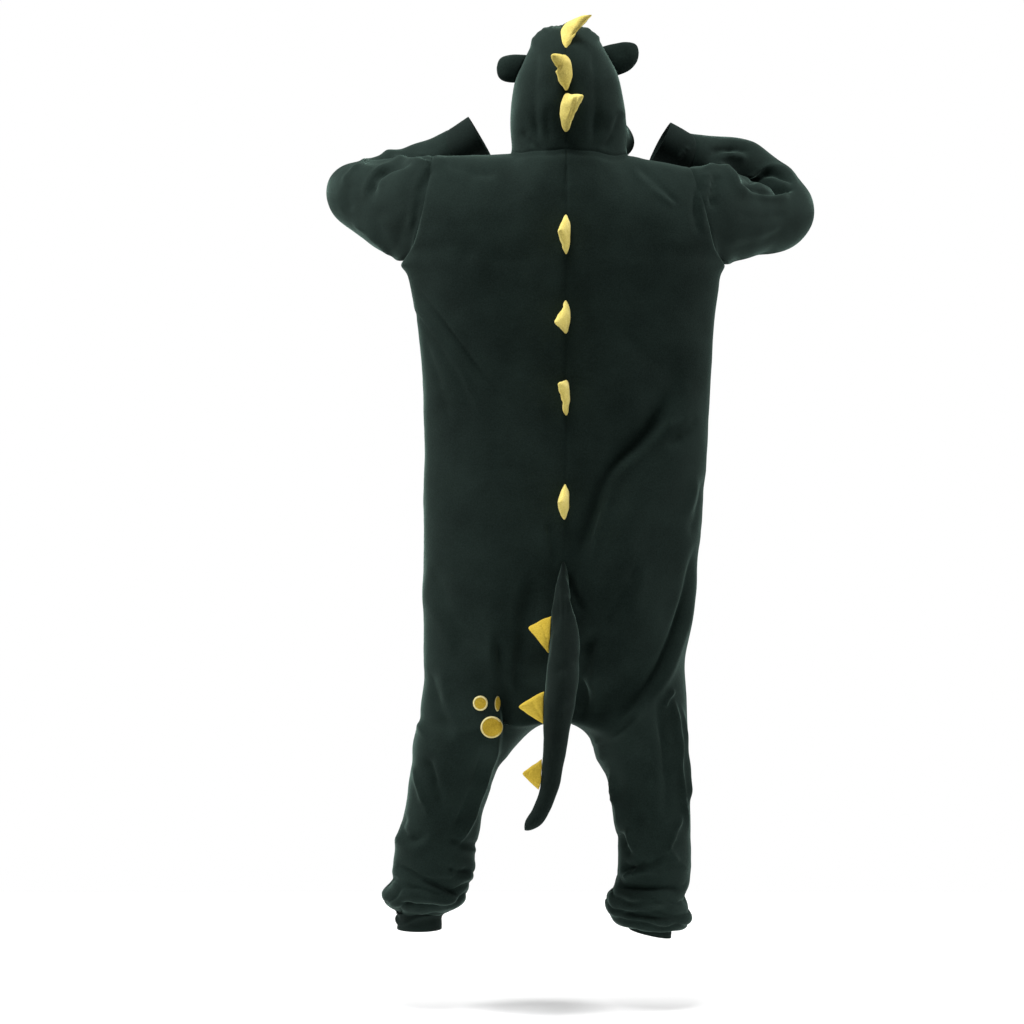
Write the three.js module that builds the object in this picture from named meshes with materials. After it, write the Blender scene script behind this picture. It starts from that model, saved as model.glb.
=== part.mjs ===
// Crocodile onesie of dark green fleece with yellow spikes, worn and hollow, arms bent up beside the hood.
// Millimetres. +X is the wearer's right, +Y the wearer's front, +Z up.
// The origin lies on the shoulder line at the middle of the neck.

import * as THREE from "three";

const CLOTH = 2; // thickness of the fleece wall
const SEAM_GAP = 0.3; // between pieces that are sewn together
const SEAT_GAP = 0.95; // under a piece that is sewn onto a curved wall
const FAR = 2000; // a point well outside the garment, for finding its surface

const PANEL_COLUMNS = 10; // from the centre seam to the side seam
const NECK_COLUMNS = 5; // of these, along the neck edge
const ARMHOLE_ROWS = 8; // from the shoulder point to the underarm
const ARMHOLE_DROP = 190; // height of the armhole
const CROTCH_DROP = 1014; // from the shoulder line to the crotch
const CLEFT_DROP = 865; // where the body starts to part into legs
const SECTION_POWER = 2.5; // squareness of the body's level sections
const CALM_SPAN = 50; // levels apart over which the body's width is evened out away from its edges
const RIDGE_FADE = 300; // below this drop the rows of the panels run level

const SIDES = { left: -1, right: 1 };

// The body, a row for each level below the shoulder line: half widths to each side and depths to each face.
const BODY = [
  { drop: 0, left: 300, right: 296, back: 92, front: 92 },
  { drop: 60, left: 300, right: 296, back: 106, front: 106 },
  { drop: 120, left: 297, right: 292, back: 120, front: 118 },
  { drop: 170, left: 291, right: 286, back: 127, front: 123 },
  { drop: 190, left: 288, right: 281, back: 128, front: 124 },
  { drop: 212, left: 283, right: 279, back: 129, front: 125 },
  { drop: 311, left: 265, right: 267, back: 127, front: 126 },
  { drop: 401, left: 257, right: 263, back: 125, front: 128 },
  { drop: 527, left: 254, right: 256, back: 130, front: 131 },
  { drop: 653, left: 254, right: 247, back: 142, front: 133 },
  { drop: 743, left: 254, right: 236, back: 149, front: 132 },
  { drop: 842, left: 254, right: 224, back: 150, front: 128 },
  { drop: 905, left: 254, right: 215, back: 146, front: 122 },
  { drop: 958, left: 252, right: 217, back: 135, front: 114 },
  { drop: CROTCH_DROP, left: 260, right: 219, back: 122, front: 104 },
];

// Distance of the armhole edge from the centre, a row for each drop below the shoulder point.
const ARMHOLE = [
  { drop: 0, left: 236, right: 221 },
  { drop: 58, left: 243, right: 236 },
  { drop: 92, left: 250, right: 247 },
  { drop: 146, left: 267, right: 263 },
  { drop: 180, left: 283, right: 276 },
  { drop: ARMHOLE_DROP, left: 288, right: 281 },
];

// The shoulder ridge above or below the shoulder line, by distance from the centre.
const RIDGE = [
  { out: 0, left: 52, right: 52 },
  { out: 50, left: 38, right: 40 },
  { out: 100, left: 5, right: 7 },
  { out: 160, left: 3, right: -8 },
  { out: 236, left: 2, right: -19 },
  { out: 300, left: 0, right: -22 },
];

// How each face leaves the shoulder ridge: height of the rounding and its start at the neck, in degrees.
const YOKE = {
  back: { height: 110, rows: 5, neckAngle: 54, face: -1 },
  front: { height: 160, rows: 6, neckAngle: 72, face: 1 },
};
const NECK_HALF = { left: 99, right: 115 };

// Legs, a row for each section: distance of inseam and side seam from the centre, their drops, and depths.
const LEGS = {
  left: [
    { inner: 5, innerDrop: 1014, outer: 260, outerDrop: 1014, back: 120, front: 104 },
    { inner: 42, innerDrop: 1021, outer: 268, outerDrop: 1034, back: 118, front: 102 },
    { inner: 76, innerDrop: 1047, outer: 274, outerDrop: 1058, back: 111, front: 98 },
    { inner: 108, innerDrop: 1084, outer: 275, outerDrop: 1088, back: 101, front: 93 },
    { inner: 125, innerDrop: 1116, outer: 280, outerDrop: 1116, back: 90, front: 86 },
    { inner: 138, innerDrop: 1149, outer: 285, outerDrop: 1149, back: 84, front: 82 },
    { inner: 150, innerDrop: 1183, outer: 291, outerDrop: 1182, back: 81, front: 80 },
    { inner: 154, innerDrop: 1216, outer: 302, outerDrop: 1216, back: 80, front: 80 },
    { inner: 163, innerDrop: 1248, outer: 306, outerDrop: 1247, back: 77, front: 79 },
    { inner: 162, innerDrop: 1280, outer: 311, outerDrop: 1278, back: 80, front: 82 },
    { inner: 171, innerDrop: 1303, outer: 309, outerDrop: 1300, back: 73, front: 76 },
    { inner: 178, innerDrop: 1325, outer: 326, outerDrop: 1321, back: 78, front: 82 },
    { inner: 185, innerDrop: 1343, outer: 325, outerDrop: 1338, back: 74, front: 79 },
    { inner: 206, innerDrop: 1356, outer: 309, outerDrop: 1350, back: 56, front: 60 },
    { inner: 220, innerDrop: 1361, outer: 303, outerDrop: 1357, back: 48, front: 52 },
  ],
  right: [
    { inner: -5, innerDrop: 1014, outer: 219, outerDrop: 1014, back: 120, front: 104 },
    { inner: 25, innerDrop: 1027, outer: 219, outerDrop: 1037, back: 117, front: 102 },
    { inner: 47, innerDrop: 1051, outer: 220, outerDrop: 1062, back: 109, front: 98 },
    { inner: 58, innerDrop: 1086, outer: 221, outerDrop: 1090, back: 97, front: 91 },
    { inner: 77, innerDrop: 1117, outer: 223, outerDrop: 1119, back: 90, front: 86 },
    { inner: 85, innerDrop: 1149, outer: 224, outerDrop: 1151, back: 84, front: 82 },
    { inner: 88, innerDrop: 1188, outer: 225, outerDrop: 1188, back: 81, front: 80 },
    { inner: 94, innerDrop: 1226, outer: 226, outerDrop: 1226, back: 79, front: 80 },
    { inner: 94, innerDrop: 1268, outer: 227, outerDrop: 1262, back: 77, front: 80 },
    { inner: 91, innerDrop: 1304, outer: 224, outerDrop: 1302, back: 73, front: 77 },
    { inner: 80, innerDrop: 1322, outer: 217, outerDrop: 1327, back: 76, front: 80 },
    { inner: 72, innerDrop: 1340, outer: 218, outerDrop: 1344, back: 75, front: 81 },
    { inner: 79, innerDrop: 1361, outer: 227, outerDrop: 1365, back: 77, front: 83 },
    { inner: 92, innerDrop: 1378, outer: 218, outerDrop: 1383, back: 66, front: 72 },
    { inner: 108, innerDrop: 1384, outer: 201, outerDrop: 1389, back: 52, front: 58 },
    { inner: 114, innerDrop: 1376, outer: 193, outerDrop: 1381, back: 45, front: 51 },
  ],
};

// Ankle bands: height, how far they draw in towards the hem, and how much lower it hangs on the outer side.
const ANKLE_CUFF = {
  left: { height: 29, taper: 0.98, slope: 0 },
  right: { height: 18, taper: 0.96, slope: 8 },
};

// Drops of the panel rows between the underarm and the crotch.
const TORSO_DROPS = [212, 240, 290, 340, 400, 460, 520, 580, 640, 700, 760, 820, 865, 905, 940, 970, 995];

// Large folds of the panels: a trough (negative depth) or ridge along a path of [x, z] points.
const FOLDS = [
  { face: "back", depth: -17, width: 30, path: [[187, -416], [158, -490], [100, -540], [63, -610], [28, -710], [8, -760]] },
  { face: "back", depth: 12, width: 42, path: [[215, -470], [186, -560], [120, -640], [90, -730]] },
  { face: "back", depth: -20, width: 28, path: [[56, -850], [34, -900], [22, -950], [38, -985], [24, -1010]] },
  { face: "back", depth: 14, width: 36, path: [[238, -700], [210, -830], [158, -940], [105, -1000], [72, -1050]] },
  { face: "back", depth: -13, width: 26, path: [[205, -760], [176, -870], [120, -930], [80, -990]] },
  { face: "back", depth: -7, width: 30, path: [[-262, -240], [-205, -320], [-142, -400], [-95, -455]] },
  { face: "back", depth: -9, width: 26, path: [[-58, -750], [-78, -855], [-92, -975]] },
  { face: "back", depth: 8, width: 30, path: [[-120, -870], [-128, -960], [-130, -1040]] },
  { face: "front", depth: -14, width: 32, path: [[-190, -430], [-150, -520], [-118, -600], [-100, -700]] },
  { face: "front", depth: 12, width: 40, path: [[170, -500], [140, -640], [100, -760]] },
  { face: "front", depth: -12, width: 30, path: [[60, -800], [80, -900], [110, -1000]] },
  { face: "front", depth: 10, width: 34, path: [[-90, -820], [-120, -930], [-150, -1040]] },
  { face: "front", depth: -9, width: 30, path: [[240, -260], [170, -350], [110, -420]] },
];

// Sleeves, a row for each section: centre as distance out, forward and up, and half height and half width.
const SLEEVES = {
  left: [
    { out: 268, fore: 18, up: -91, high: 93, wide: 73 },
    { out: 294, fore: 50, up: -82, high: 92, wide: 70 },
    { out: 324, fore: 88, up: -70, high: 85, wide: 67 },
    { out: 350, fore: 122, up: -60, high: 75, wide: 66 },
    { out: 366, fore: 149, up: -53, high: 68, wide: 65 },
    { out: 375, fore: 176, up: -47, high: 63, wide: 66 },
    { out: 373, fore: 205, up: -42, high: 60, wide: 66 },
    { out: 359, fore: 229, up: -33, high: 58, wide: 63 },
    { out: 335, fore: 245, up: -23, high: 57, wide: 61 },
    { out: 308, fore: 249, up: -13, high: 55, wide: 58 },
    { out: 283, fore: 241, up: -4, high: 52, wide: 55 },
    { out: 263, fore: 225, up: 5, high: 50, wide: 52 },
    { out: 239, fore: 203, up: 12, high: 46, wide: 50 },
    { out: 215, fore: 182, up: 23, high: 43, wide: 47 },
    { out: 192, fore: 167, up: 37, high: 40, wide: 42 },
  ],
  right: [
    { out: 264, fore: 16, up: -101, high: 90, wide: 72 },
    { out: 294, fore: 45, up: -101, high: 84, wide: 68 },
    { out: 326, fore: 78, up: -104, high: 74, wide: 64 },
    { out: 357, fore: 110, up: -104, high: 62, wide: 61 },
    { out: 386, fore: 141, up: -101, high: 60, wide: 61 },
    { out: 404, fore: 170, up: -86, high: 60, wide: 63 },
    { out: 405, fore: 199, up: -62, high: 59, wide: 62 },
    { out: 390, fore: 220, up: -35, high: 57, wide: 60 },
    { out: 363, fore: 228, up: -13, high: 56, wide: 59 },
    { out: 334, fore: 220, up: 3, high: 58, wide: 57 },
    { out: 300, fore: 200, up: 9, high: 54, wide: 53 },
    { out: 268, fore: 175, up: 12, high: 49, wide: 49 },
    { out: 241, fore: 152, up: 16, high: 46, wide: 46 },
    { out: 220, fore: 138, up: 22, high: 41, wide: 41 },
  ],
};
const SLEEVE_RING_SIDES = 2 * ARMHOLE_ROWS;

// Wrist bands: the middle of the open end, its half height and half width.
const SLEEVE_CUFF = {
  left: { out: 155, fore: 163, up: 58, high: 43, wide: 41 },
  right: { out: 178, fore: 133, up: 44, high: 42, wide: 40 },
};
const SLEEVE_CUFF_ROWS = 3;

// Large folds of the sleeves: section, angle round the section from its top over its back, spread in each, and depth.
const SLEEVE_FOLDS = {
  left: [
    { section: 3, angle: 20, sections: 1.6, spread: 24, depth: -12 },
    { section: 2, angle: 62, sections: 0.9, spread: 34, depth: -9 },
    { section: 4, angle: 68, sections: 1.5, spread: 26, depth: 7 },
    { section: 7, angle: 20, sections: 1.1, spread: 26, depth: -7 },
    { section: 11, angle: -40, sections: 1.2, spread: 40, depth: 6 },
  ],
  right: [
    { section: 2, angle: 40, sections: 0.9, spread: 34, depth: -12 },
    { section: 4, angle: 25, sections: 1.2, spread: 26, depth: 8 },
    { section: 5, angle: 8, sections: 1.2, spread: 24, depth: -11 },
    { section: 8, angle: 62, sections: 1.3, spread: 30, depth: -9 },
    { section: 11, angle: 40, sections: 1.1, spread: 40, depth: 6 },
  ],
};

// The hood, a row for each level above the shoulder line.
// Half widths, depth behind the neck's middle, and place of the front edge on each side.
const HOOD = [
  { up: -60, left: 96, right: 112, back: 78, edge: 90, edgeLeft: 2, edgeRight: 2 },
  { up: -30, left: 97, right: 113, back: 80, edge: 104, edgeLeft: 46, edgeRight: 84 },
  { up: 4, left: 99, right: 115, back: 84, edge: 110, edgeLeft: 72, edgeRight: 136 },
  { up: 50, left: 99, right: 113, back: 97, edge: 112, edgeLeft: 82, edgeRight: 132 },
  { up: 97, left: 96, right: 107, back: 106, edge: 108, edgeLeft: 84, edgeRight: 98 },
  { up: 139, left: 91, right: 99, back: 106, edge: 104, edgeLeft: 78, edgeRight: 84 },
  { up: 167, left: 79, right: 87, back: 98, edge: 101, edgeLeft: 66, edgeRight: 72 },
  { up: 194, left: 66, right: 72, back: 83, edge: 98, edgeLeft: 54, edgeRight: 58 },
  { up: 214, left: 55, right: 61, back: 66, edge: 95, edgeLeft: 42, edgeRight: 46 },
  { up: 227, left: 43, right: 48, back: 49, edge: 92, edgeLeft: 30, edgeRight: 34 },
  { up: 236, left: 27, right: 30, back: 33, edge: 90, edgeLeft: 18, edgeRight: 20 },
  { up: 241, left: 0, right: 0, back: 20, edge: 88, edgeLeft: 0, edgeRight: 0 },
];
const HOOD_ROWS = 10;
const HOOD_CROWN = 241; // top of the centre seam
const HOOD_FOREHEAD_DROP = 16; // of the centre seam, from the crown to its front end
const HOOD_MIDDLE = 8; // the hood is widest this far in front of the neck's middle

// Stuffed ears on the sides of the hood: heights of the seam's ends, reach from it, and the angle they point at.
const EARS = {
  left: { top: 183, bottom: 133, reach: 43, angle: 177, thick: 22 },
  right: { top: 198, bottom: 146, reach: 54, angle: 17, thick: 22 },
};
const EAR_FORE = -4; // the seam's place in front of the neck's middle
const EAR_POWER = 2.6; // roundness of the rim
const EAR_SHARES = [0, 0.3, 0.58, 0.8, 0.94]; // of the reach, a section at each

// Stuffed spikes in the centre seam: heights of the base's ends, thickness, and the tip as x, reach and height.
const SEAM_SPIKES = [
  { name: "hood_spike_1", top: 229, bottom: 182, thick: 18, tipX: 46, reach: 26, tipZ: 239, carrier: "hood" },
  { name: "hood_spike_2", top: 166, bottom: 104, thick: 21, tipX: -25, reach: 50, tipZ: 158, carrier: "hood" },
  { name: "hood_spike_3", top: 98, bottom: 34, thick: 21, tipX: 28, reach: 50, tipZ: 88, carrier: "hood" },
  { name: "back_spike_1", top: -117, bottom: -187, thick: 20, tipX: -9, reach: 66, tipZ: -152, carrier: "back" },
  { name: "back_spike_2", top: -268, bottom: -326, thick: 20, tipX: -17, reach: 62, tipZ: -311, carrier: "back" },
  { name: "back_spike_3", top: -407, bottom: -469, thick: 18, tipX: -9, reach: 62, tipZ: -418, carrier: "back" },
  { name: "back_spike_4", top: -590, bottom: -652, thick: 20, tipX: -6, reach: 66, tipZ: -622, carrier: "back" },
];
const SPIKE_STEPS = 9; // along each side of a spike's base

// Sections of a stuffed spike from base to tip: share of the length, of the base's height and of its thickness.
const SPIKE_FORM = [
  { along: 0, high: 1, fat: 1 },
  { along: 0.22, high: 0.82, fat: 1.2 },
  { along: 0.48, high: 0.58, fat: 1.1 },
  { along: 0.74, high: 0.33, fat: 0.85 },
  { along: 0.93, high: 0.14, fat: 0.5 },
];

// The stuffed tail, a row for each section from the seam to the tip: centre, half sizes,
// tilt of the section back from upright, and lean of the tail to the wearer's left.
const TAIL = [
  { x: -8, y: -172, z: -800, high: 56, wide: 14, tilt: 12, lean: 0 },
  { x: -7, y: -192, z: -826, high: 51, wide: 20, tilt: 36, lean: 0 },
  { x: -4, y: -205, z: -860, high: 46, wide: 25, tilt: 58, lean: 0 },
  { x: -6, y: -210, z: -898, high: 42, wide: 27.5, tilt: 76, lean: 2 },
  { x: -10, y: -211, z: -936, high: 38, wide: 27.5, tilt: 86, lean: 4 },
  { x: -14, y: -210, z: -970, high: 34, wide: 27.5, tilt: 92, lean: 5 },
  { x: -17, y: -207, z: -1003, high: 28, wide: 24, tilt: 95, lean: 6 },
  { x: -22, y: -204, z: -1048, high: 22, wide: 20.5, tilt: 95, lean: 6 },
  { x: -26, y: -201, z: -1085, high: 18, wide: 18, tilt: 94, lean: 7 },
  { x: -31, y: -198, z: -1114, high: 16, wide: 16, tilt: 92, lean: 14 },
  { x: -39, y: -197, z: -1143, high: 14.5, wide: 15, tilt: 90, lean: 28 },
  { x: -52, y: -196, z: -1166, high: 13, wide: 13.5, tilt: 90, lean: 44 },
  { x: -65, y: -195, z: -1180, high: 10.5, wide: 10.5, tilt: 90, lean: 50 },
];
const TAIL_ROOT = { top: -726, bottom: -856, wide: 10 };
const TAIL_TIP = { x: -74, y: -195, z: -1190 };
const TAIL_SIDES = 22;

// Spikes along the left of the tail: heights of the base's ends, thickness, and the rounded tip.
const TAIL_SPIKES = [
  { name: "tail_spike_1", top: -820, bottom: -882, thick: 17, tipX: -67, tipZ: -841 },
  { name: "tail_spike_2", top: -949, bottom: -1004, thick: 16, tipX: -85, tipZ: -975 },
  { name: "tail_spike_3", top: -1066, bottom: -1120, thick: 13, tipX: -77, tipZ: -1091 },
];

// Applique spots on the back of the left leg, each with the gap under it.
const SPOTS = [
  { name: "spot_1", x: -151, z: -975, radius: 11.5, gap: 0.4 },
  { name: "spot_2", x: -119, z: -976, radius: 12, gap: 0.4 },
  { name: "spot_3", x: -131, z: -1017, radius: 18, gap: 0.75 },
];
const SPOT_SIDES = 24;
const SPOT_SHARES = [0.25, 0.5, 0.75, 1]; // of the radius, a ring at each
const SPOT_THICK = 1.5;
const SPOT_REACH = [[0, 0], [2.4, 0], [-2.4, 0], [0, 2.4], [0, -2.4]]; // a spot bridges hollows this small

// The front closure: a band over the centre front seam and the buttons on it.
const PLACKET = { half: 17, firstRow: 1, lastRow: 18 };
const BUTTONS = { count: 5, first: -108, step: -138, radius: 9, thick: 3.5, sides: 24 };

const GREEN = { color: "#1b3027", roughness: 0.95, metalness: 0 };
const GREEN_BAND = { color: "#182b23", roughness: 0.95, metalness: 0 };
const YELLOW = { color: "#c9a83a", roughness: 0.9, metalness: 0 };
const BUTTON = { color: "#16241e", roughness: 0.5, metalness: 0 };

const { lerp, clamp, smoothstep, degToRad } = THREE.MathUtils;
const point = (x, y, z) => new THREE.Vector3(x, y, z);

/** A smooth curve through one named column of a table, with no overshoot between its rows. */
function columnCurve(table, key, column) {
  const at = table.map((row) => row[key]);
  const value = table.map((row) => row[column]);
  const last = at.length - 1;
  const rise = (i) => (value[i + 1] - value[i]) / (at[i + 1] - at[i]);
  const slope = at.map((_, i) => {
    if (i === 0) return rise(0);
    if (i === last) return rise(last - 1);
    const before = rise(i - 1);
    const after = rise(i);
    return before * after > 0 ? (2 * before * after) / (before + after) : 0;
  });
  return (where) => {
    const x = clamp(where, at[0], at[last]);
    let i = 0;
    while (i < last - 1 && x > at[i + 1]) i += 1;
    const span = at[i + 1] - at[i];
    const t = (x - at[i]) / span;
    const t2 = t * t;
    const t3 = t2 * t;
    return (
      (2 * t3 - 3 * t2 + 1) * value[i] +
      (t3 - 2 * t2 + t) * span * slope[i] +
      (3 * t2 - 2 * t3) * value[i + 1] +
      (t3 - t2) * span * slope[i + 1]
    );
  };
}

/** One closed mesh from vertices and triangles, turned so that its faces point out. */
function closedMesh(name, vertices, triangles, finish) {
  let volume = 0;
  for (const [a, b, c] of triangles) {
    volume += vertices[a].dot(vertices[b].clone().cross(vertices[c]));
  }
  const index = triangles.flatMap(([a, b, c]) => (volume > 0 ? [a, b, c] : [a, c, b]));
  const geometry = new THREE.BufferGeometry();
  geometry.setFromPoints(vertices);
  geometry.setIndex(index);
  geometry.computeVertexNormals();
  const mesh = new THREE.Mesh(geometry, new THREE.MeshStandardMaterial(finish));
  mesh.name = name;
  return mesh;
}

/** Outward unit normals of a grid of points; outward is away from the point inside(row, column). */
function gridNormals(grid, closed, inside) {
  const rows = grid.length;
  const columns = grid[0].length;
  return grid.map((line, i) =>
    line.map((here, j) => {
      const before = closed ? line[(j + columns - 1) % columns] : line[Math.max(j - 1, 0)];
      const after = closed ? line[(j + 1) % columns] : line[Math.min(j + 1, columns - 1)];
      const above = grid[Math.max(i - 1, 0)][j];
      const below = grid[Math.min(i + 1, rows - 1)][j];
      const normal = after.clone().sub(before).cross(below.clone().sub(above)).normalize();
      return normal.dot(here.clone().sub(inside(i, j))) < 0 ? normal.negate() : normal;
    }),
  );
}

/** A wall of cloth: the grid is its outer face, and inner vectors lead to its inner face. */
function clothWall(name, grid, inner, closed, finish) {
  const rows = grid.length;
  const columns = grid[0].length;
  const vertices = [];
  grid.forEach((line) => line.forEach((here) => vertices.push(here)));
  grid.forEach((line, i) => line.forEach((here, j) => vertices.push(here.clone().add(inner[i][j]))));
  const half = rows * columns;
  const outside = (i, j) => i * columns + (j % columns);
  const within = (i, j) => half + outside(i, j);
  const triangles = [];
  const quad = (a, b, c, d) => triangles.push([a, b, c], [a, c, d]);
  const spans = closed ? columns : columns - 1;
  for (let i = 0; i < rows - 1; i += 1) {
    for (let j = 0; j < spans; j += 1) {
      quad(outside(i, j), outside(i + 1, j), outside(i + 1, j + 1), outside(i, j + 1));
      quad(within(i, j), within(i, j + 1), within(i + 1, j + 1), within(i + 1, j));
    }
  }
  for (let j = 0; j < spans; j += 1) {
    quad(outside(0, j), outside(0, j + 1), within(0, j + 1), within(0, j));
    quad(outside(rows - 1, j), within(rows - 1, j), within(rows - 1, j + 1), outside(rows - 1, j + 1));
  }
  if (!closed) {
    for (let i = 0; i < rows - 1; i += 1) {
      quad(outside(i, 0), within(i, 0), within(i + 1, 0), outside(i + 1, 0));
      quad(outside(i, spans), outside(i + 1, spans), within(i + 1, spans), within(i, spans));
    }
  }
  return closedMesh(name, vertices, triangles, finish);
}

/** A closed stuffed body through rings. Its first ring is closed by a spine of points that runs
 *  from the ring's first point to the opposite one, its last ring by the tip. */
function stuffedBody(name, rings, spine, tip, finish) {
  const sides = rings[0].length;
  const half = sides / 2;
  const vertices = [...rings.flat(), ...spine, tip];
  const last = vertices.length - 1;
  const triangles = [];
  for (let i = 0; i < rings.length - 1; i += 1) {
    for (let j = 0; j < sides; j += 1) {
      const k = (j + 1) % sides;
      const a = i * sides;
      const b = a + sides;
      triangles.push([a + j, b + j, b + k], [a + j, b + k, a + k]);
    }
  }
  const spineAt = (j) => {
    if (j === 0 || j === half) return j;
    return rings.length * sides + j - 1;
  };
  for (let j = 0; j < half; j += 1) {
    const left = [(sides - j) % sides, sides - j - 1];
    triangles.push([j, j + 1, spineAt(j + 1)], [j, spineAt(j + 1), spineAt(j)]);
    triangles.push([left[1], left[0], spineAt(j)], [left[1], spineAt(j), spineAt(j + 1)]);
  }
  const end = (rings.length - 1) * sides;
  for (let j = 0; j < sides; j += 1) triangles.push([last, end + ((j + 1) % sides), end + j]);
  const sound = triangles.filter(([a, b, c]) => a !== b && b !== c && c !== a);
  return closedMesh(name, vertices, sound, finish);
}

/** A closed stuffed disc through rings, with a point at the middle of each face. */
function stuffedDisc(name, rings, first, tip, finish) {
  const sides = rings[0].length;
  const vertices = [...rings.flat(), first, tip];
  const last = vertices.length - 1;
  const end = (rings.length - 1) * sides;
  const triangles = [];
  for (let j = 0; j < sides; j += 1) {
    const k = (j + 1) % sides;
    for (let a = 0; a < end; a += sides) {
      triangles.push([a + j, a + sides + j, a + sides + k], [a + j, a + sides + k, a + k]);
    }
    triangles.push([last - 1, j, k], [last, end + k, end + j]);
  }
  return closedMesh(name, vertices, triangles, finish);
}

/** The same vector without its part along one axis, at its full length. */
function flattened(vector, axis) {
  const flat = vector.clone();
  flat[axis] = 0;
  return flat.setLength(vector.length());
}

/** Height of the cloth above its smooth form at a place seen from behind or in front. */
function foldHeight(face, x, z) {
  let height = 0;
  for (const fold of FOLDS) {
    if (fold.face !== face) continue;
    let nearest = Infinity;
    for (let i = 0; i < fold.path.length - 1; i += 1) {
      const [ax, az] = fold.path[i];
      const [bx, bz] = fold.path[i + 1];
      const along = ((x - ax) * (bx - ax) + (z - az) * (bz - az)) / ((bx - ax) ** 2 + (bz - az) ** 2);
      const t = clamp(along, 0, 1);
      nearest = Math.min(nearest, Math.hypot(x - lerp(ax, bx, t), z - lerp(az, bz, t)));
    }
    height += fold.depth * Math.exp(-((nearest / fold.width) ** 2));
  }
  return height;
}

const bodyCurve = Object.fromEntries(
  ["left", "right", "back", "front"].map((column) => [column, columnCurve(BODY, "drop", column)]),
);
const armholeCurve = { left: columnCurve(ARMHOLE, "drop", "left"), right: columnCurve(ARMHOLE, "drop", "right") };
const ridgeCurve = { left: columnCurve(RIDGE, "out", "left"), right: columnCurve(RIDGE, "out", "right") };

/** The centre back and front seams lean a little to the wearer's left towards the crotch. */
function seamLean(drop) {
  return -5 * smoothstep(drop, 450, 750);
}

/** Depth of the body's level section at a distance out from the centre, as a share of its full depth. */
function sectionShare(side, drop, out) {
  const half = bodyCurve[side](drop);
  const calm = (bodyCurve[side](drop - CALM_SPAN) + half + bodyCurve[side](drop + CALM_SPAN)) / 3;
  const nearEdge = clamp(out / half, 0, 1) ** 4;
  return (1 - clamp(out / lerp(calm, half, nearEdge), 0, 1) ** SECTION_POWER) ** (1 / SECTION_POWER);
}

/** Drop below the ridge of a panel row above the underarm, where the face rounds off the shoulder. */
function yokeDrop(yoke, row, startAngle) {
  if (row > yoke.rows) {
    return lerp(yoke.height, ARMHOLE_DROP, (row - yoke.rows) / (ARMHOLE_ROWS - yoke.rows));
  }
  const angle = lerp(startAngle, 90, row / yoke.rows);
  return yoke.height * (1 - Math.cos(degToRad(angle)));
}

/** One point of a panel above the crotch, on the row at a drop below the ridge. */
function torsoPoint(side, faceName, drop, column, out) {
  const yoke = YOKE[faceName];
  const half = bodyCurve[side](drop);
  const ridge = ridgeCurve[side](out) * (1 - smoothstep(drop, 0, RIDGE_FADE));
  const rounding = drop < yoke.height ? Math.sqrt(1 - (1 - drop / yoke.height) ** 2) : 1;
  const x = SIDES[side] * out;
  const z = ridge - drop;
  const share = sectionShare(side, drop, out);
  const fold = foldHeight(faceName, x, z) * smoothstep(share, 0, 0.6) * rounding;
  const depth = bodyCurve[faceName](drop) * share * rounding + fold;
  return point(x + seamLean(drop) * (1 - out / half), yoke.face * depth, z);
}

/** The rows of a panel from its neck and shoulder edge to the crotch. */
function torsoRows(side, faceName) {
  const yoke = YOKE[faceName];
  const drops = [...Array(ARMHOLE_ROWS + 1).keys(), ...TORSO_DROPS];
  return drops.map((entry, row) => {
    const inArmhole = row <= ARMHOLE_ROWS;
    const rowDrop = inArmhole ? yokeDrop(yoke, row, 0) : entry;
    const half = bodyCurve[side](rowDrop);
    const edge = inArmhole ? armholeCurve[side](rowDrop) : half;
    const sweep = Math.asin(Math.min(1, edge / half));
    const natural = (column) => half * Math.sin((sweep * column) / PANEL_COLUMNS);
    const neckShift = (NECK_HALF[side] - natural(NECK_COLUMNS)) * Math.max(0, 1 - row / yoke.rows);
    return Array.from({ length: PANEL_COLUMNS + 1 }, (_, column) => {
      const spread = Math.min(column / NECK_COLUMNS, (PANEL_COLUMNS - column) / (PANEL_COLUMNS - NECK_COLUMNS));
      const out = natural(column) + neckShift * spread;
      const neckShare = Math.sqrt(Math.max(0, 1 - (out / NECK_HALF[side]) ** 2));
      const startAngle = column < NECK_COLUMNS ? yoke.neckAngle * neckShare : 0;
      const drop = inArmhole ? yokeDrop(yoke, row, startAngle) : rowDrop;
      const top = torsoPoint(side, faceName, drop, column, out);
      const parting = smoothstep(rowDrop, CLEFT_DROP, CROTCH_DROP) ** 2;
      return parting > 0 ? top.lerp(legPoint(side, faceName, LEGS[side][0], column, rowDrop), parting) : top;
    });
  });
}

/** One point of a leg section; its drop can be given for rows above the crotch. */
function legPoint(side, faceName, section, column, levelDrop) {
  const turn = degToRad(lerp(-90, 90, column / PANEL_COLUMNS));
  const middle = (section.inner + section.outer) / 2;
  const half = (section.outer - section.inner) / 2;
  const share = (1 + Math.sin(turn)) / 2;
  const x = SIDES[side] * (middle + half * Math.sin(turn));
  const z = -(levelDrop ?? lerp(section.innerDrop, section.outerDrop, share));
  const fold = foldHeight(faceName, x, z) * Math.cos(turn);
  return point(x, YOKE[faceName].face * (section[faceName] * Math.cos(turn) ** 0.9 + fold), z);
}

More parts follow.
